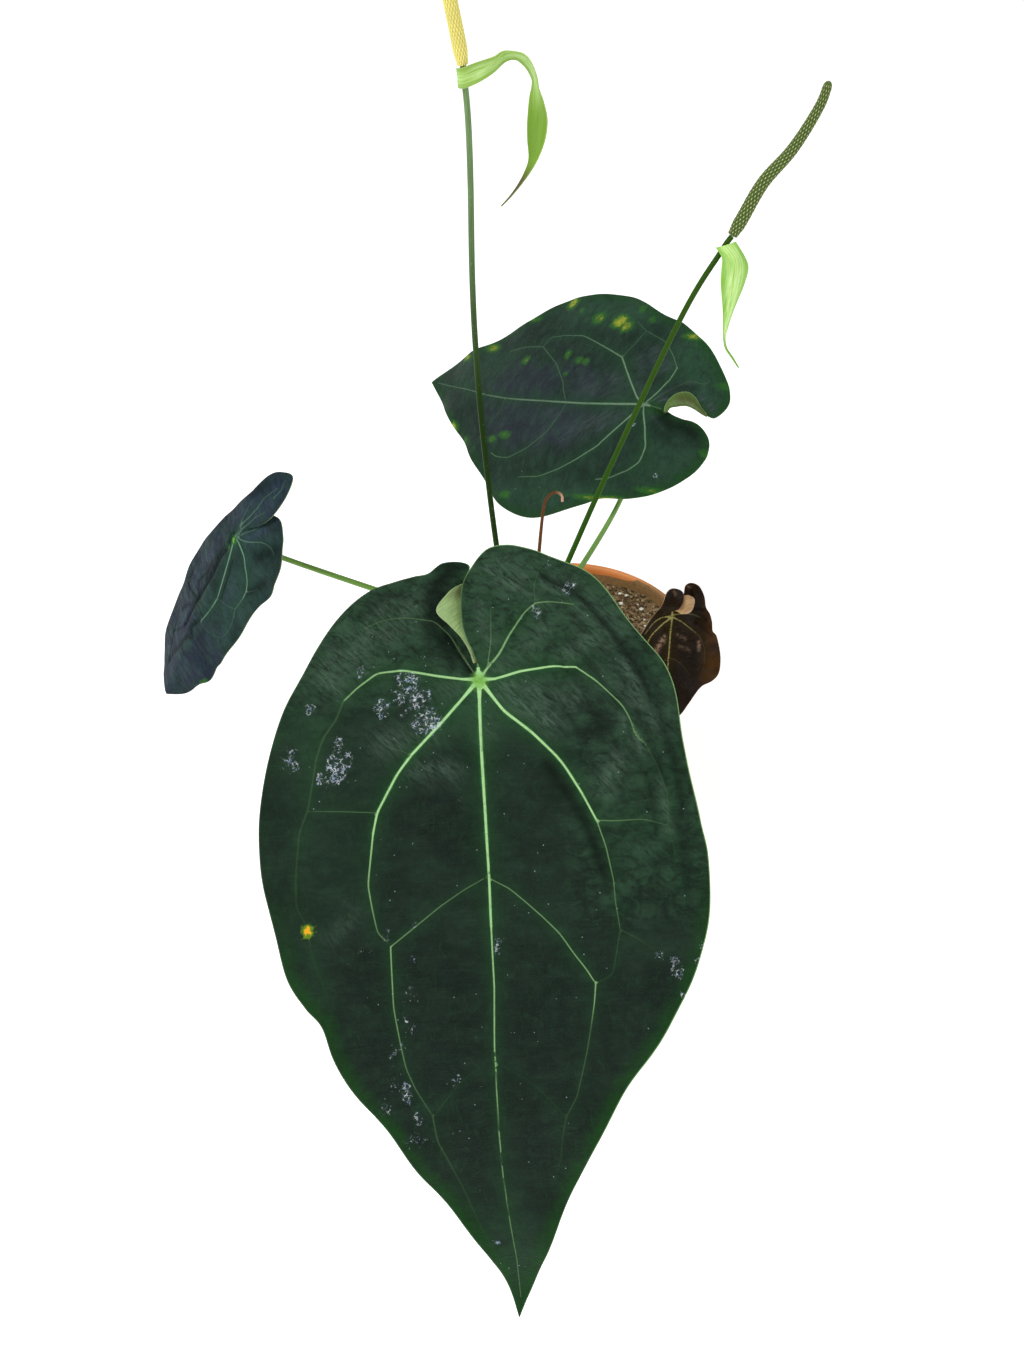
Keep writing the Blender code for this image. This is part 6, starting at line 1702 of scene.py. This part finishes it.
make_blade(
    "leaf_rear_fine", "leaf_rear_blade", "leaf_velvet", REAR_LEAF, [rear_top, rear_under], rear_shade,
    rimmed=rear_margin, edged=0.4, cooled=rear_cool, rumple=0.3, dusty=0.2,
    yellow=[((91, -74), (6, 6), 1.2), ((61, -62), (5, 5), 1.0), ((43, -59), (7, 6), 1.25),
            ((36, -55), (5, 5), 1.1), ((147, -35), (8, 4), 1.1), ((172, -25), (8, 4), 1.1),
            ((104, -28), (4, 4), 0.85), ((70, -34), (3, 4), 0.85), ((59, -30), (4, 3), 0.8),
            ((53, -29), (3, 3), 0.85), ((64, -20), (2, 3), 0.7), ((132, 33), (3, 4), 0.9),
            ((94, 24), (6, 3), 0.85), ((104, 28), (4, 3), 0.85), ((-14, -49), (9, 3), 1.1),
            ((-24, 49), (14, 2.5), 0.9), ((6, 58), (24, 2.2), 1.15), ((76, 62), (5, 3), 0.8),
            ((150, 26), (6, 5), 1.25), ((-44, 22), (6, 3), 0.6), ((-45, -20), (8, 3), 0.7),
            ((78, -68), (3, 3), 0.6), ((118, -60), (8, 3), 0.9), ((30, -68), (3, 4), 0.7),
            ((20, -60), (3, 3), 0.65), ((100, 62), (8, 4), 0.9)],
    residue=[((70, 58), (2, 2), 0.9), ((52, 55), (2, 2), 0.9), ((-20, 40), (2, 2), 1.2), ((2, 12), (4, 3), 0.8),
             ((70, 46), (2, 2), 0.8)],
    fresh=[((-35, -25), (22, 26), 1.0), ((-25, 35), (22, 24), 0.8), ((50, -68), (50, 14), 0.9),
           ((30, 60), (60, 12), 0.8), ((150, -20), (40, 18), 0.5), ((0, 0), (12, 12), 0.4),
           ((-30, -40), (26, 22), 1.3)],
)
make_blade(
    "leaf_left_fine", "leaf_left_blade", "leaf_velvet", LEFT_LEAF, [left_top, pale_under],
    rimmed=0.35, edged=0.5, cooled=left_cool, rumple=left_rumple, dusty=0.1,
    yellow=[((92, 19), (6, 4), 0.95)],
    fresh=[((24, 20), (36, 16), 0.8), ((0, 1), (8, 6), 1.0), ((4, -3), (8, 2.5), 1.0)],
)
make_blade("leaf_young_fine", "leaf_young_blade", "leaf_bronze", YOUNG_LEAF, [young_paint(), young_under])

# Stalks: node, leaf, route, radius at the foot and at the tip, and paint
petiole = stalk_paint("petiole_green_smooth", (0.16, 0.30, 0.07), (0.28, 0.46, 0.13), (0.36, 0.55, 0.18))
rear_petiole = stalk_paint("petiole_rear_green", (0.14, 0.28, 0.06), (0.22, 0.41, 0.10), (0.36, 0.55, 0.18))
left_petiole = stalk_paint("petiole_left_green", (0.13, 0.26, 0.035), (0.16, 0.31, 0.055), (0.14, 0.26, 0.04))
young_petiole = stalk_paint("petiole_young", (0.16, 0.2, 0.06), (0.2, 0.12, 0.06), (0.2, 0.13, 0.05))
# The left flower stalk pales towards its top: partly its own colour, partly painted highlight
left_stem = stalk_paint("peduncle_left_green", (0.011, 0.034, 0.002), (0.18, 0.29, 0.12), specular=0.05, start=0.5)
right_stem = stalk_paint("peduncle_right_green", (0.022, 0.085, 0.002), (0.028, 0.078, 0.004), specular=0.06)
brown = stalk_paint("sprout_brown", (0.085, 0.034, 0.006), (0.13, 0.050, 0.016), (0.55, 0.33, 0.22), specular=0.05)
make_petiole("leaf_front_petiole", FRONT_LEAF, FRONT_STALK, 2.4, 2.1, petiole)
make_petiole("leaf_rear_petiole", REAR_LEAF, REAR_STALK, 1.7, 1.35, rear_petiole)
make_petiole("leaf_left_petiole", LEFT_LEAF, LEFT_STALK, 1.7, 1.4, left_petiole)
make_petiole("leaf_young_petiole", YOUNG_LEAF, YOUNG_STALK, 1.5, 1.2, young_petiole)
make_peduncle("flower_left_peduncle", LEFT_PEDUNCLE, 1.6, 1.25, left_stem)
make_peduncle("flower_right_peduncle", RIGHT_PEDUNCLE, 1.6, 1.2, right_stem)
sprout_line = smooth_line(SPROUT, 1.2)
sprout = tube("sprout_hook", sprout_line, lambda t, a: 1.4 - 0.75 * t + 0.06 * math.cos(2 * a), 14, brown)
claim(sprout, "sprout")

# Flowers, pot, soil and crown
left_florets = spadix_paint("spadix_yellow_florets", low=(0.50, 0.38, 0.08), high=(0.86, 0.78, 0.22),
                            dot=(0.92, 0.88, 0.42), dot_size=0.3)
right_florets = spadix_paint("spadix_green_florets", low=(0.026, 0.048, 0.008), high=(0.10, 0.16, 0.03),
                             dot=(0.85, 0.74, 0.45), dot_size=0.55)
make_spadix("flower_left_spadix", LEFT_SPADIX, left_florets, rows=26, turns=14)
make_spadix("flower_right_spadix", RIGHT_SPADIX, right_florets, rows=22, turns=12)
left_bract = spathe_paint("spathe_left_green", inner=(0.32, 0.53, 0.10), outer=(0.48, 0.68, 0.26),
                          side=(0.20, 0.35, 0.045), tail=(0.15, 0.29, 0.02), tail_from=0.42,
                          tip=(0.085, 0.060, 0.030))
right_bract = spathe_paint("spathe_right_green", inner=(0.41, 0.67, 0.16), outer=(0.58, 0.81, 0.32),
                           side=(0.18, 0.42, 0.04), tail=(0.16, 0.36, 0.03), tail_from=0.62,
                           tip=(0.16, 0.36, 0.03))
make_spathe("flower_left_spathe", LEFT_SPATHE, left_bract)
make_spathe("flower_right_spathe", RIGHT_SPATHE, right_bract)
make_pot()
make_soil()
make_crown()

# Floor, light and camera

GROUND_REACH = 6000.0
SENSOR = 36.0
FOCAL_PIXELS, PICTURE_PIXELS = 1025, 1365  # of the photo's own camera, as fitted to the pot's rim
CAMERA_AT = (-0.0356, -0.4411, 0.5571)
CAMERA_TILT = 44.0

floor_paint = Paint("floor_white", Roughness=0.9, Specular_IOR_Level=0.0)
floor_paint.put(floor_paint.shader.inputs["Base Color"], (0.85, 0.85, 0.85))
floor_paint.put(floor_paint.shader.inputs["Emission Color"], (1.0, 1.0, 1.0))
floor_paint.put(floor_paint.shader.inputs["Emission Strength"], 0.6)
corners = [(x * GROUND_REACH, y * GROUND_REACH, 0) for x, y in ((-1, -1), (1, -1), (1, 1), (-1, 1))]
floor = mesh_object("floor", corners, [(0, 1, 2, 3)], [floor_paint.material])

world = bpy.data.worlds.new("studio")
bpy.context.scene.world = world
world.use_nodes = True
sky = world.node_tree
direction = sky.nodes.new("ShaderNodeTexCoord").outputs["Generated"]
height = sky.nodes.new("ShaderNodeSeparateXYZ")
shade = sky.nodes.new("ShaderNodeMapRange")
shade.interpolation_type = "SMOOTHSTEP"
sky.links.new(direction, height.inputs[0])
sky.links.new(height.outputs[2], shade.inputs["Value"])
for key, value in (("From Min", 0.05), ("From Max", 0.75), ("To Min", 0.95), ("To Max", 0.35)):
    shade.inputs[key].default_value = value
sky.links.new(shade.outputs[0], sky.nodes["Background"].inputs[1])
sky.nodes["Background"].inputs[0].default_value = (0.97, 0.98, 1.0, 1.0)


def area_light(name, at, aim, size, power):
    """A round soft light that faces the aim."""
    data = bpy.data.lights.new(name, "AREA")
    data.shape = "DISK"
    data.size = size
    data.energy = power
    made = bpy.data.objects.new(name, data)
    made.location = at
    made.rotation_euler = (Vector(aim) - Vector(at)).to_track_quat("-Z", "Y").to_euler()
    bpy.context.scene.collection.objects.link(made)


area_light("key", (-1.5, -0.6, 2.5), (0, 0, 0.2), 1.6, 46)
area_light("fill", (1.8, -1.4, 1.6), (0, 0, 0.2), 1.8, 14)

camera_data = bpy.data.cameras.new("camera")
camera_data.sensor_width = SENSOR
camera_data.lens = SENSOR * FOCAL_PIXELS / PICTURE_PIXELS
camera_data.clip_start = 0.01
camera = bpy.data.objects.new("camera", camera_data)
camera.location = CAMERA_AT
camera.rotation_euler = (math.radians(CAMERA_TILT), 0, 0)
bpy.context.scene.collection.objects.link(camera)
bpy.context.scene.camera = camera
bpy.context.scene.view_settings.view_transform = "Standard"
